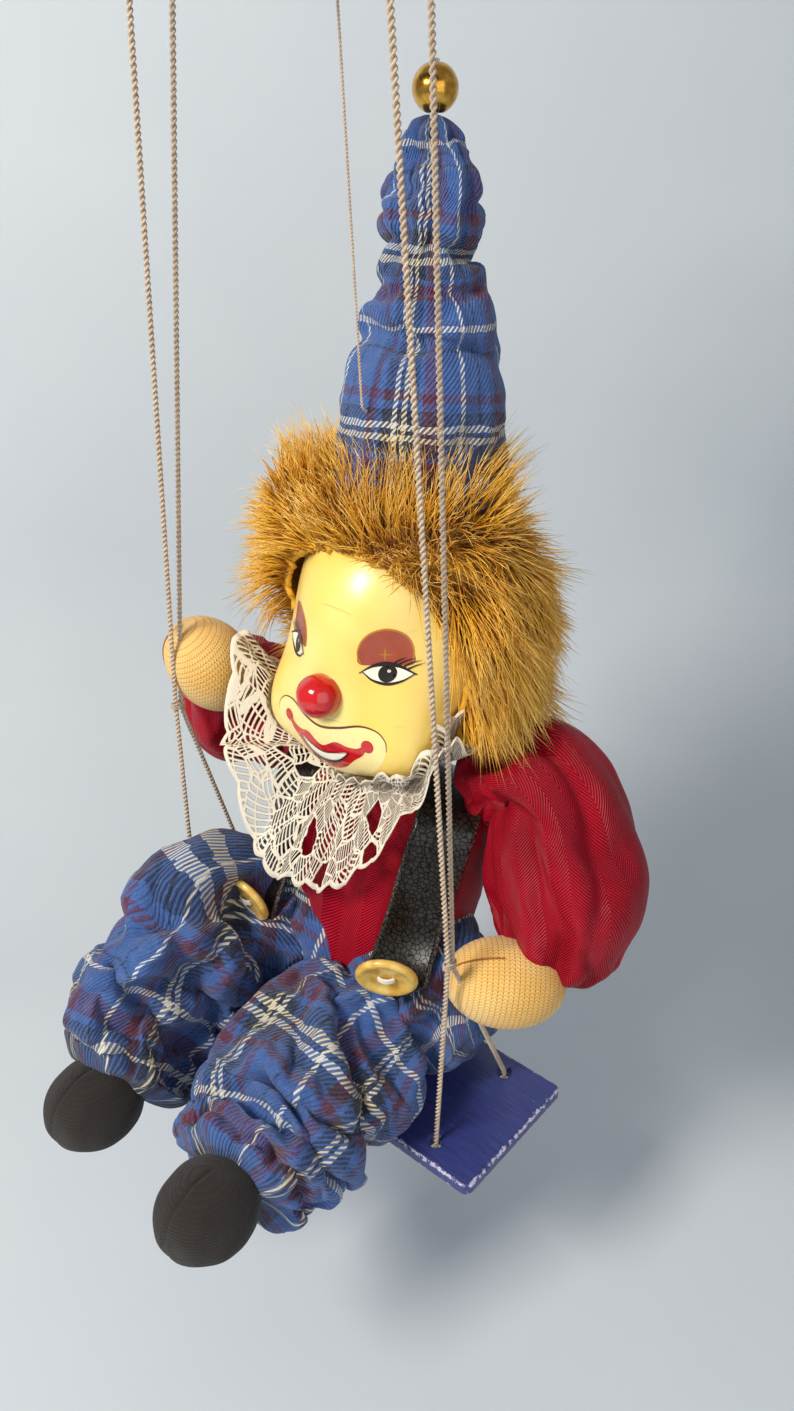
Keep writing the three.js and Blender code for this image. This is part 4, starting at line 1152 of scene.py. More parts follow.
for side in sides:
    centre, axis = hand_centres[side], hand_axes[side].normalized() * hand_half_length
    hand_path = [centre - axis, centre, centre + axis]
    points, faces, cloth = soft_tube(hand_path, hand_section, 60, 72, (1, 0, 0), 62)
    hand_tree = BVHTree.FromPolygons(points, faces)
    arm_path = [centre, *arm_paths[side]]
    arm, arm_faces, arm_cloth = soft_tube(arm_path, arm_section, 40, 24, (0, 1, 0), 31)
    form = (*merged([(points, faces), (arm, arm_faces)]), cloth + arm_cloth)
    piece = new_piece(f"jersey_hand_{side}", form, jersey, "swing", "jersey", f"arm_{side}")
    line, tip = [], centre - axis * 0.82
    for k in range(41):
        share = k / 40
        spot = tip.lerp(centre + axis * 0.35, share)
        way = (thumb_ways[side] + axis.normalized() * 0.25 * (share - 0.5)).normalized()
        hit, normal, _, _ = hand_tree.ray_cast(spot + way * 40, -way)
        if hit is not None:
            dash = 0.1 * math.sin(share * 2 * math.pi * 9)
            line.append(hit + normal * (0.08 + dash))
    plies = twisted(rounded(line, 2), 0.55, 1.3, 5)
    new_piece(f"brown_thumb_stitch_{side}", plies, brown_thread, "swing", "cord")

# Sleeves
# Full sleeves of the shirt cloth, gathered at the shoulder and tightly at the wrist.
sleeve_forms = {
    "left": {
        "path": [(22, 23, 70), (40, 26.5, 77), (50, 21.5, 54), (51, 12.5, 36.5)],
        "radii": [(0, 10), (0.3, 15.5), (0.64, 18.3), (0.86, 13.5), (1, 8)],
        "folds": [
            (0.35, 2.0, 0.9, 0.20, 0.62, 3.2),
            (1.5, 0.9, -0.7, 0.30, 0.95, 2.4),
            (2.4, 0.6, 0.5, 0.45, 1.0, 2.0),
            (3.4, 0.7, 0.3, 0.40, 1.0, 2.2),
            (4.3, 0.5, -0.4, 0.25, 0.8, 2.0),
            (5.3, 0.6, 0.6, 0.45, 1.0, 2.4),
        ],
        "pinches": [(0.42, 0.03, 0.1, 3.3, 0.12)],
        "hollow": 12,
    },
    "right": {
        "path": [(-18, 20, 62), (-34, 22, 67), (-42.5, 15, 73), (-43, 8, 91)],
        "radii": [(0, 11), (0.35, 16), (0.65, 17), (0.88, 13.5), (1, 9)],
        "folds": [
            (0.6, 0.6, 0.8, 0.2, 0.8, 2.2),
            (2.0, 0.6, -0.5, 0.3, 1.0, 2.0),
            (3.3, 0.5, 0.5, 0.4, 1.0, 2.0),
            (4.8, 0.7, 0.3, 0.2, 0.9, 2.2),
        ],
        "pinches": [(0.3, 0.04, 0.2, 3.9, 0.1), (0.62, 0.04, 0.16, 3.2, -0.1)],
        "hollow": 0,
    },
}
for side, form in sleeve_forms.items():
    radius = profile(form["radii"])

    def sleeve_section(t, angle, radius=radius, form=form):
        reach = radius(t) * round_ends(t, 0.06) * pinched(t, angle, form["pinches"])
        wrist = smooth(t, 0.55, 0.97)
        fine, finer = 0.06 * math.cos(9 * angle + 2 * t), 0.03 * math.cos(14 * angle)
        reach *= 1 + fine * wrist + finer * wrist
        from_middle = (angle - 4.12 + math.pi) % (2 * math.pi) - math.pi
        dip = ((t - 0.22 - 0.06 * from_middle) / 0.08) ** 4 + (from_middle / 0.55) ** 4
        reach -= form["hollow"] * math.exp(-min(dip, 50))
        for start_angle, spread, slant, begin, end, depth in form["folds"]:
            middle = start_angle + slant * (t - 0.5) * 2
            apart = (angle - middle + math.pi) % (2 * math.pi) - math.pi
            window = smooth(t, begin - 0.15, begin + 0.1) * (1 - smooth(t, end - 0.1, end + 0.12))
            reach -= depth * window * math.exp(-((apart / (spread * 0.28)) ** 2))
        return reach * math.cos(angle), reach * math.sin(angle)

    path = form["path"]
    points, faces, cloth = soft_tube(path, sleeve_section, 60, facets_round, (0, 1, 0), 122)
    points = puckered(points, faces, lambda p: 0.7 * crumple(p, 21, 6.6))
    held = ends(points, 7, 8)
    points = settled(points, faces, held, growth=0.13, pressure=0.5, reach=4.0, stiffness=0.05)
    form, name = (points, faces, cloth), f"sleeve_{side}"
    piece = new_piece(f"crimson_{name}", form, crimson, "swing", "crimson_twill", name)
    refine(piece)

# Head
# Hollow glazed ceramic with a neck and a ball end, one with its round red nose. The face is painted
# on: each colour here is a thin skin that lies on the glaze.
head_centre, head_half = Vector((-1, 19, 107)), Vector((25.2, 21, 27))
head_features = [
    ((0, -0.5, -0.86), 0.56, 7.4),
    ((0.67, -0.64, -0.68), 0.31, 8.2),
    ((-0.67, -0.64, -0.68), 0.31, 8.2),
    ((0, -0.8, -0.6), 0.45, 4.2),
    ((0, -0.85, 0.5), 0.5, 0.5),
    ((0.5, -0.86, -0.02), 0.24, -1.6),
    ((-0.5, -0.86, -0.02), 0.24, -1.6),
    ((0.75, -0.6, 0.25), 0.38, -2.1),
    ((-0.75, -0.6, 0.25), 0.38, -2.1),
]
head_features = [(Vector(way).normalized(), wide, high) for way, wide, high in head_features]


def head_swell(way):
    return sum(
        high * math.exp(-((way.angle(centre) / wide) ** 2)) for centre, wide, high in head_features
    )


glaze = Finish(
    "yellow_glaze",
    Roughness=0.34,
    Coat_Weight=0.35,
    Coat_Roughness=0.3,
    Subsurface_Weight=0.08,
    Subsurface_Scale=0.002,
)
pale = glaze.mottle(0.05, 2.0)
crazing = glaze.cells(glaze.scaled(glaze.place(), 0.045), 1.0)
crack = (1 - crazing.swell(0.0, 0.012)) * glaze.mottle(0.1).swell(0.5, 0.62) * 0.35
dust = glaze.mottle(0.9, 4.0, 0.7).swell(0.62, 0.8) * 0.25
glaze_colour = blended(pale.swell(0.3, 0.7), "efcf68", "f6e08c")
glaze_colour = blended(dust, glaze_colour, "cdb46a")
glaze.tint(crack, glaze_colour, "8f7a45")
glaze.coat("Roughness", 0.32 + dust * 0.5)

head = ball(head_centre, head_half, 128, 96, head_swell)
head_tree = BVHTree.FromPolygons(*head)
neck_pivot = (0, 20, 64)
neck_profile = [(56.2, 3.5), (56.4, 4.6), (58.2, 5.6), (61, 7.4), (64, 8.0), (67, 7.4), (69, 6.4)]
neck_profile += [(70, 6.0), (84, 6.0)]
form = merged([head, lathed(neck_pivot, neck_profile, 48)])
new_piece("ceramic_head", form, glaze, "head", "painted_face", "head")

red_gloss = Finish("red_gloss_paint", Roughness=0.14, Coat_Weight=0.8, Coat_Roughness=0.05)
red_gloss.tint(red_gloss.mottle(0.2, 2.0), "b0060a", "cf1216")


def nose_dent(way):
    return 0.12 * noise.noise(way * 2) - 0.25 * smooth(way.z, 0.5, 1.0)


nose = ball((0, -5.2, 98.8), (5.05, 5.05, 5.05), 72, 48, nose_dent)
new_piece("red_nose", nose, red_gloss, "head", "painted_face")


def on_face(x, z, lift):
    """The place on the glaze in front of x and z, lifted off it."""
    hit, normal, _, _ = head_tree.ray_cast(Vector((x, -60, z)), Vector((0, 1, 0)))
    return hit + normal * lift if hit is not None else None


def curved(windows, steps):
    """Places on a smooth line, from each four flat corners those between the middle two."""
    found = []
    for a, b, c, d in windows:
        bend, twist = a * 2 - b * 5 + c * 4 - d, b * 3 - a - c * 3 + d
        for k in range(steps):
            s = k / steps
            found.append((b * 2 + (c - a) * s + bend * s * s + twist * s**3) / 2)
    return found


def closed_curve(corners, steps):
    """A smooth closed line through flat corners."""
    line = [Vector(p) for p in (corners[-1], *corners, *corners[:2])]
    return curved(zip(line, line[1:], line[2:], line[3:]), steps)


def open_curve(corners, steps):
    """A smooth open line through flat corners."""
    line = [Vector(p) for p in corners]
    line = [line[0] * 2 - line[1], *line, line[-1] * 2 - line[-2]]
    return [*curved(zip(line, line[1:], line[2:], line[3:]), steps), line[-2]]


def oval(x, z, wide, tall, count):
    """A flat oval outline."""
    return [(x + wide * math.cos(a), z + tall * math.sin(a)) for a in circle(count)]


def patch(outline, cell=0.7):
    """Flat points and faces that fill a closed outline, cut into small cells."""
    form = bmesh.new()
    loop = [form.verts.new((x, 0, z)) for x, z in outline]
    form.faces.new(loop)
    for axis in (0, 2):
        low = min(p[axis // 2] for p in outline)
        high = max(p[axis // 2] for p in outline)
        count = int((high - low) / cell)
        for k in range(1, count + 1):
            cut_at, way = Vector((0, 0, 0)), Vector((0, 0, 0))
            cut_at[axis], way[axis] = low + (high - low) * k / (count + 1), 1
            everything = form.verts[:] + form.edges[:] + form.faces[:]
            bmesh.ops.bisect_plane(form, geom=everything, plane_co=cut_at, plane_no=way)
    form.verts.index_update()
    points = [(v.co.x, v.co.z) for v in form.verts]
    faces = [tuple(v.index for v in f.verts) for f in form.faces]
    form.free()
    return points, faces


def brush(corners, steps, *widths):
    """Flat points and faces of a brush stroke through corners, with three half widths along it."""
    line, width_at = open_curve(corners, steps), profile(list(zip((0, 0.5, 1), widths)))
    points, faces = [], []
    for i, here in enumerate(line):
        along = line[min(i + 1, len(line) - 1)] - line[max(i - 1, 0)]
        beside = Vector((-along.y, along.x)).normalized() * width_at(i / (len(line) - 1))
        points += [here + beside, here - beside]
    for i in range(len(line) - 1):
        faces.append((2 * i, 2 * i + 1, 2 * i + 3, 2 * i + 2))
    return points, faces


def paint_on(name, shapes, finish, lift):
    """A thin skin of paint on the face, from flat shapes."""
    points, faces = merged(shapes)
    placed = [on_face(p[0], p[1], lift) for p in points]
    facing = []
    for face in faces:
        if all(placed[i] is not None for i in face):
            a, b, c = (placed[i] for i in face[:3])
            facing.append(face if (b - a).cross(c - a).y < 0 else tuple(reversed(face)))
    placed = [p if p is not None else head_centre for p in placed]
    piece = new_piece(name, (placed, facing), finish, "head", "painted_face")
    form = bmesh.new()
    form.from_mesh(piece.data)
    loose = [v for v in form.verts if not v.link_faces]
    bmesh.ops.delete(form, geom=loose, context="VERTS")
    form.to_mesh(piece.data)
    form.free()


def face_paint(name, low, high):
    finish = Finish(name, Roughness=0.3, Coat_Weight=0.3, Coat_Roughness=0.25)
    finish.tint(finish.mottle(0.6, 3.0), low, high)
    return finish


black_paint = face_paint("black_face_paint", "14100e", "241c18")
white_paint = face_paint("white_face_paint", "efe6cf", "f8f2e2")
clay_paint = face_paint("clay_face_paint", "94402c", "ab5038")
ochre_paint = face_paint("ochre_face_paint", "a86a12", "c98a22")
brown_paint = face_paint("brown_face_paint", "4e2a16", "6a3a1e")
cream_paint = face_paint("cream_face_paint", "f3d988", "f8e6a8")

eye_x, eye_z = 12.5, 105.0
shadow_shape = [(-4.9, 1.6), (-5.6, 4.0), (-5.0, 6.6), (-3.4, 8.6), (-1.2, 9.6), (0.8, 9.3)]
shadow_shape += [(2.6, 7.9), (3.8, 5.4), (4.2, 2.3), (0, 2.0)]
upright_stroke = [(-0.9, 2.3), (-0.9, 4.0), (-0.9, 5.8)]
level_stroke = [(-2.4, 4.0), (-0.9, 4.0), (0.7, 4.1)]
almond_shape = [(-4.4, 0.0), (-2.9, 1.4), (-0.5, 2.0), (2.2, 1.7), (4.5, 0.3)]
almond_shape += [(3.0, -1.2), (0.4, -2.1), (-2.4, -1.6)]
upper_lid = [(-5.0, -0.2), (-2.9, 1.4), (-0.5, 2.0), (2.2, 1.7), (5.2, 0.2)]
lower_lid = [(-4.4, 0.0), (-2.4, -1.6), (0.4, -2.1), (3.0, -1.2), (4.8, 0.3)]
lashes = [((1.4, 1.9), (2.9, 3.0), (4.4, 3.6)), ((2.4, 1.5), (3.9, 2.6), (5.4, 3.2))]
lashes += [((3.2, 1.1), (4.6, 2.0), (6.0, 2.6)), ((0.5, 2.0), (1.8, 3.1), (3.0, 3.8))]
for side, sign in sides.items():

    def mirrored(shape, sign=sign):
        return [Vector((eye_x * sign + x * sign, eye_z + z)) for x, z in shape]

    shadow = mirrored(shadow_shape)
    paint_on(f"eye_shadow_{side}", [patch(closed_curve(shadow, 8))], clay_paint, 0.05)
    gilding = [
        brush(shadow[:9], 8, 0.12, 0.2, 0.12),
        brush(mirrored(upright_stroke), 6, 0.02, 0.2, 0.02),
        brush(mirrored(level_stroke), 6, 0.02, 0.18, 0.02),
    ]
    paint_on(f"eye_gilding_{side}", gilding, ochre_paint, 0.08)
    almond = closed_curve(mirrored(almond_shape), 8)
    paint_on(f"eye_white_{side}", [patch(almond)], white_paint, 0.1)
    strokes = [
        patch(oval(eye_x * sign, eye_z + 0.05, 1.75, 1.85, 40)),
        brush(mirrored(upper_lid), 8, 0.1, 0.5, 0.14),
        brush(mirrored(lower_lid), 8, 0.1, 0.3, 0.1),
    ]
    strokes += [brush(mirrored(lash), 5, 0.2, 0.14, 0.03) for lash in lashes]
    paint_on(f"eye_black_{side}", strokes, black_paint, 0.22)
    # A white dot on each pupil is a painted highlight.
    glint = oval(eye_x * sign + 0.2, eye_z + 0.55, 0.34, 0.34, 20)
    paint_on(f"eye_glint_{side}", [patch(glint, 0.4)], white_paint, 0.28)

mouth = [(-11.6, 90.4), (-9.4, 88.4), (-6.8, 88.0), (-3.8, 88.5), (0, 86.6), (3.8, 88.5)]
mouth += [(6.8, 88.0), (9.4, 88.4), (11.6, 90.4), (10.6, 87.2), (8.0, 84.8), (4.4, 81.4)]
mouth += [(0, 79.9), (-4.4, 81.4), (-8.0, 84.8), (-10.6, 87.2)]
mouth_ends = [patch(oval(x, 89.3, 1.5, 1.5, 28), 0.5) for x in (-11.5, 11.5)]
paint_on("mouth_red", [patch(closed_curve(mouth, 8)), *mouth_ends], red_gloss, 0.09)
teeth = [(-6.4, 86.4), (-3.0, 85.4), (0, 84.8), (3.0, 85.4), (6.4, 86.4)]
teeth += [(3.6, 83.5), (0, 82.4), (-3.6, 83.5)]
paint_on("mouth_white", [patch(closed_curve(teeth, 8))], white_paint, 0.13)
lip_line = [(-7.0, 86.5), (-3.7, 83.4), (0, 82.3), (3.7, 83.4), (7.0, 86.5)]
seam_line = [(-6.8, 86.6), (-3.0, 85.5), (0, 84.9), (3.0, 85.5), (6.8, 86.6)]
strokes = [brush(lip_line, 8, 0.1, 0.5, 0.1), brush(seam_line, 8, 0.05, 0.14, 0.05)]
paint_on("mouth_black", strokes, black_paint, 0.26)
muzzle = [(0, 91.4), (4.9, 92.3), (9.4, 93.6), (13.2, 93.2), (15.4, 91.4), (15.9, 89.2)]
muzzle = [(-x, z) for x, z in reversed(muzzle[1:])] + muzzle
paint_on("muzzle_line", [brush(muzzle, 8, 0.04, 0.28, 0.06)], brown_paint, 0.16)
chin = [(14.0, 84.6), (8.0, 79.6), (0, 78.0), (-8.0, 79.6), (-14.0, 84.6)]
paint_on("muzzle_cream", [patch(closed_curve(muzzle + chin, 8), 1.0)], cream_paint, 0.04)

# Neck
# The shirt cloth is drawn up round the neck of the head and bound with thread, so that the head can
# nod and turn in it.
neck_low, neck_cloth_high, neck_inner, neck_outer = 69.6, 2.8, 6.3, 8.5
neck_rings = [(0, 0), (0, 1), (0.25, 1.0), (0.4, 0.78), (0.5, 0.68), (0.6, 0.78), (0.8, 1.0)]
neck_rings += [(1, 1), (1, 0)]
points, faces, around = [], [], 72
for rise, out in neck_rings:
    for angle in circle(around):
        ruffle = 0.93 + 0.07 * math.cos(18 * angle)
        reach = neck_inner + (neck_outer - neck_inner) * out * ruffle
        x, y = neck_pivot[0] + reach * math.cos(angle), neck_pivot[1] + reach * math.sin(angle)
        points.append((x, y, neck_low + neck_cloth_high * rise))
for i in range(len(neck_rings)):
    for k in range(around):
        n = (k + 1) % around
        row, up = i * around, (i + 1) % len(neck_rings) * around
        faces.append((row + k, row + n, up + n, up + k))
form = (points, faces, [(0.0, 0.0)] * (4 * len(faces)))
new_piece("crimson_neck", form, crimson, "neck", "crimson_twill", "neck_cloth")
tied_at = (*neck_pivot[:2], neck_low + neck_cloth_high / 2)
plies = twisted(wound(tied_at, 8.45, 8.45, 0.5, 48), 0.55, 1.2, 5)
new_piece("wound_neck_binding", plies, cotton, "neck", "cord", "neck_binding")

# Lace collar
# Gathered at the neck and left to fall in waves. The pattern is cord round uneven cells, most of
# them filled with ladders of fine bars and a few left open.
lace = Finish("white_lace", Roughness=0.8, Sheen_Weight=0.3)
across, along, _ = lace.parts(lace.cloth())
cell_size, bar_pitch, rung_pitch = 6.2, 0.84, 2.4
sway = lace.mottle(0.5, 2.0)
swayed = {0: across + sway * 1.4, 1: along * 1.45 + sway * 1.2}
lace_place = lace.wire.node("ShaderNodeCombineXYZ", swayed)
cell_value = lace.parts(lace.cells(lace_place, 1 / cell_size, "F1", "Color"))[0]
cell_edge = lace.cells(lace_place, 1 / cell_size) * cell_size
cord_line = 1 - cell_edge.swell(0.16, 0.34)
bar_turn = cell_value * (2 * math.pi)
bar_x, bar_y = bar_turn.maths("COSINE"), bar_turn.maths("SINE")
bar_run = (across * bar_x + along * bar_y).wrap(bar_pitch)
rung_run = (across * bar_y - along * bar_x).wrap(rung_pitch)
bars = 1 - abs(bar_run - bar_pitch / 2).swell(0.13, 0.24)
rungs = 1 - abs(rung_run - rung_pitch / 2).swell(0.12, 0.22)
filled = bars.most(rungs) * (cell_value > 0.14)
edge_cord = 1 - along.swell(0.6, 0.9)
threads = cord_line.most(filled).most(edge_cord)
fuzz = lace.mottle(4.0, 3.0)
lace.tint(fuzz * 0.5 + threads * 0.5, "b8a990", "f0e7d4")
lace.coat("Alpha", threads > 0.35)
lace.relief(threads + fuzz * 0.4, 0.3)


def lace_sheet(name, rows, outer_first, body, rests_on, *nodes):
    """Lace on rows of places, from where it is gathered to its free edge."""
    columns = len(rows[0])
    lengths = [0.0]
    for before, row in zip(rows, rows[1:]):
        steps = [(p - q).length for p, q in zip(row, before)]
        lengths.append(lengths[-1] + sum(steps) / len(steps))
    deep = lengths[-1]
    girth = sum((p - q).length for p, q in zip(rows[-1], rows[-1][1:]))
    area = sum(
        (b - a).cross(c - a).length / 2 + (c - a).cross(d - a).length / 2
        for near, far in zip(rows, rows[1:])
        for a, b, c, d in zip(near, near[1:], far[1:], far)
    )
    way = 1 if outer_first else -1
    points, faces = slab(rows[::way], 0.22)
    from_edge = [deep - length for length in lengths[::way]]
    size, cloth = len(rows) * columns, []
    for face in faces:
        for i in face:
            row_index, j = divmod(i % size, columns)
            cloth.append((girth * j / (columns - 1), from_edge[row_index]))
    piece = new_piece(name, (points, faces, cloth), lace, body, "white_lace", *nodes)
    flat, area = (girth * metres, deep * metres), area * metres**2


collar_edge = [
    (-180, 22, 72), (-135, 22, 73), (-105, 25, 80), (-78, 30, 93), (-54, 37, 102),
    (-38, 41, 80), (-20, 37, 58), (0, 33, 50), (25, 31, 60), (46, 31, 78),
    (66, 30, 91), (95, 26, 89), (180, 22, 72),
]
edge_radius = profile([(angle, radius) for angle, radius, _ in collar_edge])
edge_height = profile([(angle, height) for angle, _, height in collar_edge])
collar_inside, collar_top, head_gap = 10, 77.8, 0.7
collar_around, collar_steps, collar_petals = 480, 30, 60
rows = []
for i in range(collar_steps + 1):
    s = i / collar_steps
    row = []
    for j in range(collar_around + 1):
        degrees = 360 * j / collar_around - 180
        angle = math.radians(degrees)
        scallop = abs(math.sin(collar_petals / 2 * angle)) ** 0.7
        reach = edge_radius(degrees) * (0.985 + 0.03 * scallop)
        radius = collar_inside + (reach - collar_inside) * s
        height = collar_top + (edge_height(degrees) - collar_top) * s**1.6
        wave = math.cos(12 * angle) * 2.0 * s + math.sin(7 * angle + 1) * 1.3 * s * s
        frill = 1.1 * math.sin(29 * angle + 2 * math.sin(5 * angle)) * s**1.3
        x = neck_pivot[0] + radius * math.sin(angle)
        y = neck_pivot[1] - radius * math.cos(angle)
        row.append(Vector((x, y, height + wave + frill)))
    rows.append(row)
for row in rows:
    for p in row:
        hit, normal, _, _ = head_tree.find_nearest(p)
        if (p - hit).dot(normal) < head_gap:
            p += normal * (head_gap - (p - hit).dot(normal))
lace_sheet("lace_ruff", rows, True, "neck", "crimson_shirt", "lace_collar")

heading_edge = [(-30, -66), (10, -60), (25, -52), (45, -41), (63, -29), (85, -27), (110, -34)]
heading_edge += [(150, -60), (170, -68)]
heading_top, heading_low = profile(heading_edge), math.radians(-74)
heading_steps, heading_around = 14, 260
rows = []
for i in range(heading_steps + 1):
    s, row = i / heading_steps, []
    for j in range(heading_around + 1):
        degrees = -30 + 200 * j / heading_around
        angle = math.radians(degrees)
        tall = math.radians(heading_top(degrees)) + 0.06 * abs(math.sin(22 * angle))
        tilt = heading_low + (tall - heading_low) * s
        x, y = math.cos(tilt) * math.sin(angle), -math.cos(tilt) * math.cos(angle)
        way = Vector((x, y, math.sin(tilt)))
        hit, normal, _, _ = head_tree.ray_cast(head_centre + way * 80, -way)
        ripple = 0.5 + 0.5 * math.cos(26 * angle + 2 * math.sin(6 * angle))
        row.append(hit + normal * (0.8 + 1.7 * s * ripple))
    rows.append(row)
lace_sheet("lace_heading", rows, False, "head", "ceramic_head")

# Hat
# A tall gathered cone of the trouser plaid, tied twice near its tip so that it has soft rolls.
hat_cloth = plaid("hat_plaid_twill")
hat_base, hat_tip = Vector((1.2, 26, 129)), Vector((0.6, 30.6, 207.5))
hat_widths = [(0, 17.0), (0.09, 17.0), (0.29, 15.6), (0.5, 12.6), (0.65, 9.8), (0.71, 8.2)]
hat_widths += [(0.77, 8.8), (0.86, 7.0), (0.91, 5.6), (1, 3.8)]
hat_radius = profile(hat_widths)
hat_ties = ((0.45, 0.022, 1.0, 0.05), (0.70, 0.018, 2.2, 0.03), (0.80, 0.016, 1.6, -0.02))


def hat_section(t, angle):
    reach = hat_radius(t) * round_ends(t, 0.015, 0.04)
    gathered = smooth(t, 0.6, 0.72) * 0.09 + 0.02
    reach *= 1 + gathered * math.cos(8 * angle + 3 * t) * smooth(t, 0.1, 0.3)
    for ring, wide, depth, slant in hat_ties:
        reach -= depth * math.exp(-(((t - ring - slant * math.sin(angle)) / wide) ** 2))
    return reach * math.cos(angle), reach * math.sin(angle)


points, faces, cloth = soft_tube([hat_base, hat_tip], hat_section, 96, 96, (1, 0, 0), 117)
points = puckered(
    points, faces, lambda p: 1.6 * crumple(p, 12, 5.5) + 0.8 * crumple(p, 6, 7.1) + 0.2
)
points = settled(
    points,
    faces,
    lambda i, p: p.z < 136 or p.z > 205 or 182 < p.z < 185,
    growth=0.16,
    pressure=0.12,
    reach=2.2,
    stiffness=0.05,
)
piece = new_piece("plaid_hat", (points, faces, cloth), hat_cloth, "head", "blue_plaid", "hat")
refine(piece)

# Bead
# A gold-lacquered bead on the tip of the hat, with a hole through it and a knot of thread on top.
gold = Finish("gold_lacquer", Metallic=1.0, Roughness=0.16, Coat_Weight=0.5, Coat_Roughness=0.06)
gold_wear = gold.mottle(0.6, 4.0, 0.6)
gold.tint(gold_wear.swell(0.35, 0.7), "c98a1e", "e8b64a")
gold.coat("Roughness", 0.12 + gold_wear * 0.16)
bead_radius = 4.4
bead_centre = hat_tip + Vector((0, 0, bead_radius + 0.3))


def bead_dent(way):
    return -0.7 * math.exp(-(((1 - abs(way.z)) / 0.035) ** 2))


form = ball(bead_centre, (bead_radius,) * 3, 72, 60, bead_dent)
new_piece("gold_bead_on_hat", form, gold, "head", "gold_bead", "hat_bead")
knot_centre = bead_centre + Vector((0, 0, bead_radius - 0.2))
loop = twisted(knot_line(knot_centre, 1.9, 0.5), 0.5, 1.1, 5)
new_piece("bead_knot", loop, white_thread, "head", "cord")

# Wig
# Long golden-brown pile on a cloth back, brushed outwards round the face. A rough body of short
# pile fills the inside and the long hairs stand out of it.
pile = Finish("golden_fur", Roughness=0.42, Sheen_Weight=0.1, Sheen_Roughness=0.4)
hair_tone, hair_along, _ = pile.parts(pile.cloth())
hair_patch = pile.mottle(0.12, 3.0)
root_tone = blended(hair_tone, "a0640a", "bc7c10")
mid_tone = blended(hair_tone, "e2a01a", "f8c03a")
tip_tone = blended(hair_tone, "f2b83e", "ffdc84")
hair_colour = blended(hair_along.swell(0.05, 0.45), root_tone, mid_tone)
hair_colour = blended(hair_along.swell(0.5, 1.0), hair_colour, tip_tone)
pile.tint(hair_patch.swell(0.5, 0.75) * 0.3, hair_colour, "a4680c")
wig_centre, wig_half = Vector((0, 22, 111)), Vector((45, 34, 39))
face_half_width, face_top, face_spring, face_back, face_flare = 25.5, 124.5, 104, 15, 0.022


def at_window(p):
    """The x and z of a place, drawn along the flare of the face opening to its narrow end."""
    widening = 1 + face_flare * max(0, face_back - p.y)
    return p.x / widening, face_spring + (p.z - face_spring) / widening


def in_face(p, room):
    """Whether a place is in the opening round the face, made smaller by some room."""
    if p.y > face_back - room:
        return False
    x, z = at_window(p)
    if z < face_spring:
        return abs(x) < face_half_width - room
    level = (z - face_spring) / (face_top - face_spring - room)
    return abs(level) < 1 and abs(x) < (face_half_width - room) * math.sqrt(1 - level * level)


wig_tuft, tuft_width, tuft_height = Vector((-0.62, -0.36, 0.7)), 0.55, 9


def wig_reach(way):
    """The outline of the wig in a direction, with a tuft on top and its lower left side hanging."""
    low = smooth(-way.z, -0.1, 0.45)
    tuft = tuft_height * math.exp(-((way.angle(wig_tuft) / tuft_width) ** 2))
    p = Vector([w * (h + tuft) for w, h in zip(way, wig_half)])
    p *= 1 - 0.3 * max(0, -way.x) * low
    return wig_centre + p - Vector((0, 0, 7 * smooth(way.x, 0.3, 0.8) * low))


def beyond_face(p):
    """How far a place is outside the opening round the face, in rough millimetres."""
    x, z = at_window(p)
    outside = abs(x)
    if z >= face_spring:
        arch = (z - face_spring) * face_half_width / (face_top - face_spring)
        outside = math.hypot(x, arch)
    return max(outside - face_half_width, p.y - face_back)


random.seed(11)
noise.seed_set(11)
scalp_points, scalp_faces = ball((0, 0, 0), (1, 1, 1), 96, 72)
scalp = []
for way in scalp_points:
    way = way.normalized()
    rough = noise.noise(way * 5) * 0.05 + noise.noise(way * 14) * 0.04
    out = wig_reach(way)
    full = wig_centre + (out - wig_centre) * (0.74 + rough)
    close = head_tree.ray_cast(wig_centre + way * 90, -way)[0]
    close = close + way * 1.2 if close is not None else full
    scalp.append(close.lerp(full, smooth(beyond_face(full), -1, 14)))
kept_faces = []
for face in scalp_faces:
    middle = sum((scalp[i] for i in face), Vector()) / len(face)
    under = middle.z < 90 and abs(middle.x) < 20 and middle.y < 40
    if not in_face(middle, 1.0) and not under:
        kept_faces.append(face)
used = sorted({i for face in kept_faces for i in face})
new_index = {old: new for new, old in enumerate(used)}
scalp_used = [scalp[i] for i in used]
kept_faces = [tuple(new_index[i] for i in face) for face in kept_faces]
cloth = []
for face in kept_faces:
    for i in face:
        cloth.append((0.5 + 0.5 * noise.noise(scalp_used[i] * 0.4), 0.35))
form = (scalp_used, kept_faces, cloth)
piece = new_piece("fur_backing", form, pile, "head", "golden_fur", "wig")
shell = piece.modifiers.new("thickness", "SOLIDIFY")
shell.thickness, shell.offset = 1.2 * metres, -1

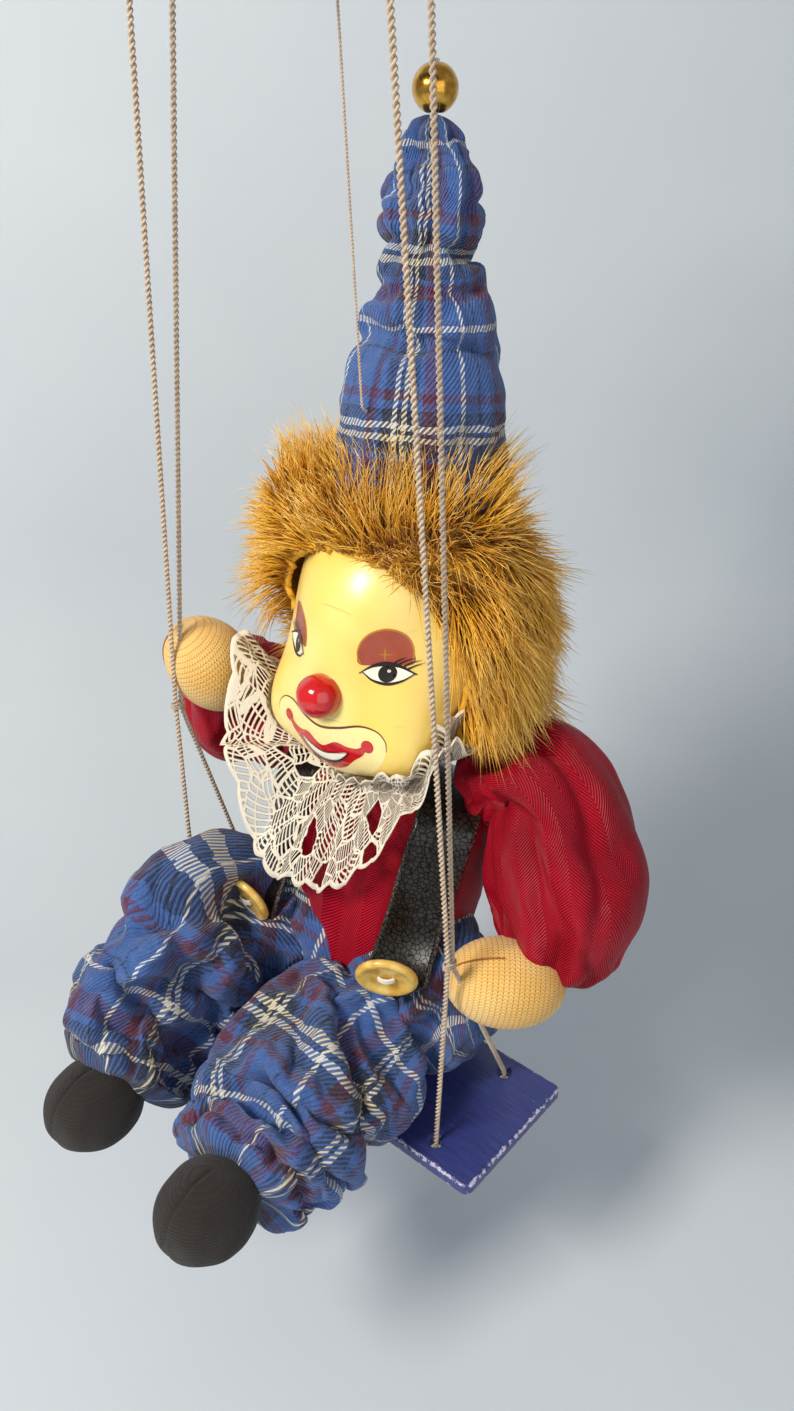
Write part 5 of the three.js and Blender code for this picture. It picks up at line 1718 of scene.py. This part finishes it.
scalp_tree = BVHTree.FromPolygons(scalp_used, kept_faces)
golden_angle = math.pi * (3 - math.sqrt(5))
hair_count, hair_points, hair_faces, hair_cloth = 22000, [], [], []
rings, hair_floor = ((0.0, 1.0), (0.4, 0.85), (0.75, 0.55)), 87
far_right = Vector((0.76, 0.62, 0.2)).normalized()
for n in range(hair_count):
    level = 1 - 2 * (n + 0.5) / hair_count
    flat = math.sqrt(1 - level * level)
    way = Vector((flat * math.cos(golden_angle * n), flat * math.sin(golden_angle * n), level))
    root, normal, _, _ = scalp_tree.ray_cast(wig_centre + way * 90, -way)
    if root is None or (root - wig_centre).dot(way) < 0:
        continue
    out = wig_reach(way)
    outwards = (root - wig_centre).normalized()
    lock = noise.noise_vector(root * 0.1) * 0.9 + noise.noise_vector(root * 0.35) * 0.5
    stray = Vector((random.uniform(-1, 1), random.uniform(-1, 1), random.uniform(-1, 1))) * 0.22
    upright = smooth(way.z, 0.5, 0.85)
    combed = Vector((0.25, -0.45, -0.9)) * smooth(way.x, 0.2, 0.8) + Vector((0, 0, 1.1)) * upright
    heading = (outwards + normal * 0.3 + lock + stray + combed).normalized()
    curl = noise.noise_vector(root * 0.16 + Vector((9, 4, 2))) * 1.1
    bend = Vector((0, 0, -0.35 + 0.3 * upright)) + stray * 1.5 + curl
    share_of_room = (out - root).length / max(heading.dot(outwards), 0.45)
    near_tuft = smooth(way.dot(wig_tuft), 0.6, 0.95)
    length = min(19, max(8, share_of_room * random.uniform(0.6, 1.0)))
    length *= 1 + 0.5 * upright - 0.5 * near_tuft - 0.45 * smooth(way.dot(far_right), 0.6, 1)
    thick = random.uniform(0.11, 0.19)
    tip = root + (heading + bend * 0.5) * length
    if tip.z < hair_floor:
        length *= max(0.3, min(1, (root.z - hair_floor + 2) / (root.z - tip.z)))
        tip = root + (heading + bend * 0.5) * length
    if beyond_face(tip) < -3:
        continue
    beside = heading.cross(Vector((0.2, 0.3, 1))).normalized()
    above = heading.cross(beside)
    first = len(hair_points)
    tone = min(1, max(0, 0.5 + 0.9 * noise.noise(root * 0.3) + random.uniform(-0.35, 0.35)))
    for share, wide in rings:
        middle = root + heading * length * share + bend * length * share * share * 0.5
        for turned in circle(3):
            around_hair = beside * math.cos(turned) + above * math.sin(turned)
            hair_points.append(middle + around_hair * thick * wide)
    hair_points.append(tip)
    for r in range(2):
        for k in range(3):
            low, high = first + 3 * r, first + 3 * (r + 1)
            hair_faces.append((low + k, low + (k + 1) % 3, high + (k + 1) % 3, high + k))
            hair_cloth += [(tone, rings[r][0])] * 2 + [(tone, rings[r + 1][0])] * 2
    for k in range(3):
        hair_faces.append((first + 6 + k, first + 6 + (k + 1) % 3, first + 9))
        hair_cloth += [(tone, rings[2][0])] * 2 + [(tone, 1.0)]
    hair_faces.append((first + 2, first + 1, first))
    hair_cloth += [(tone, 0.0)] * 3
new_piece("fur_hairs", (hair_points, hair_faces, hair_cloth), pile, "head", "golden_fur")
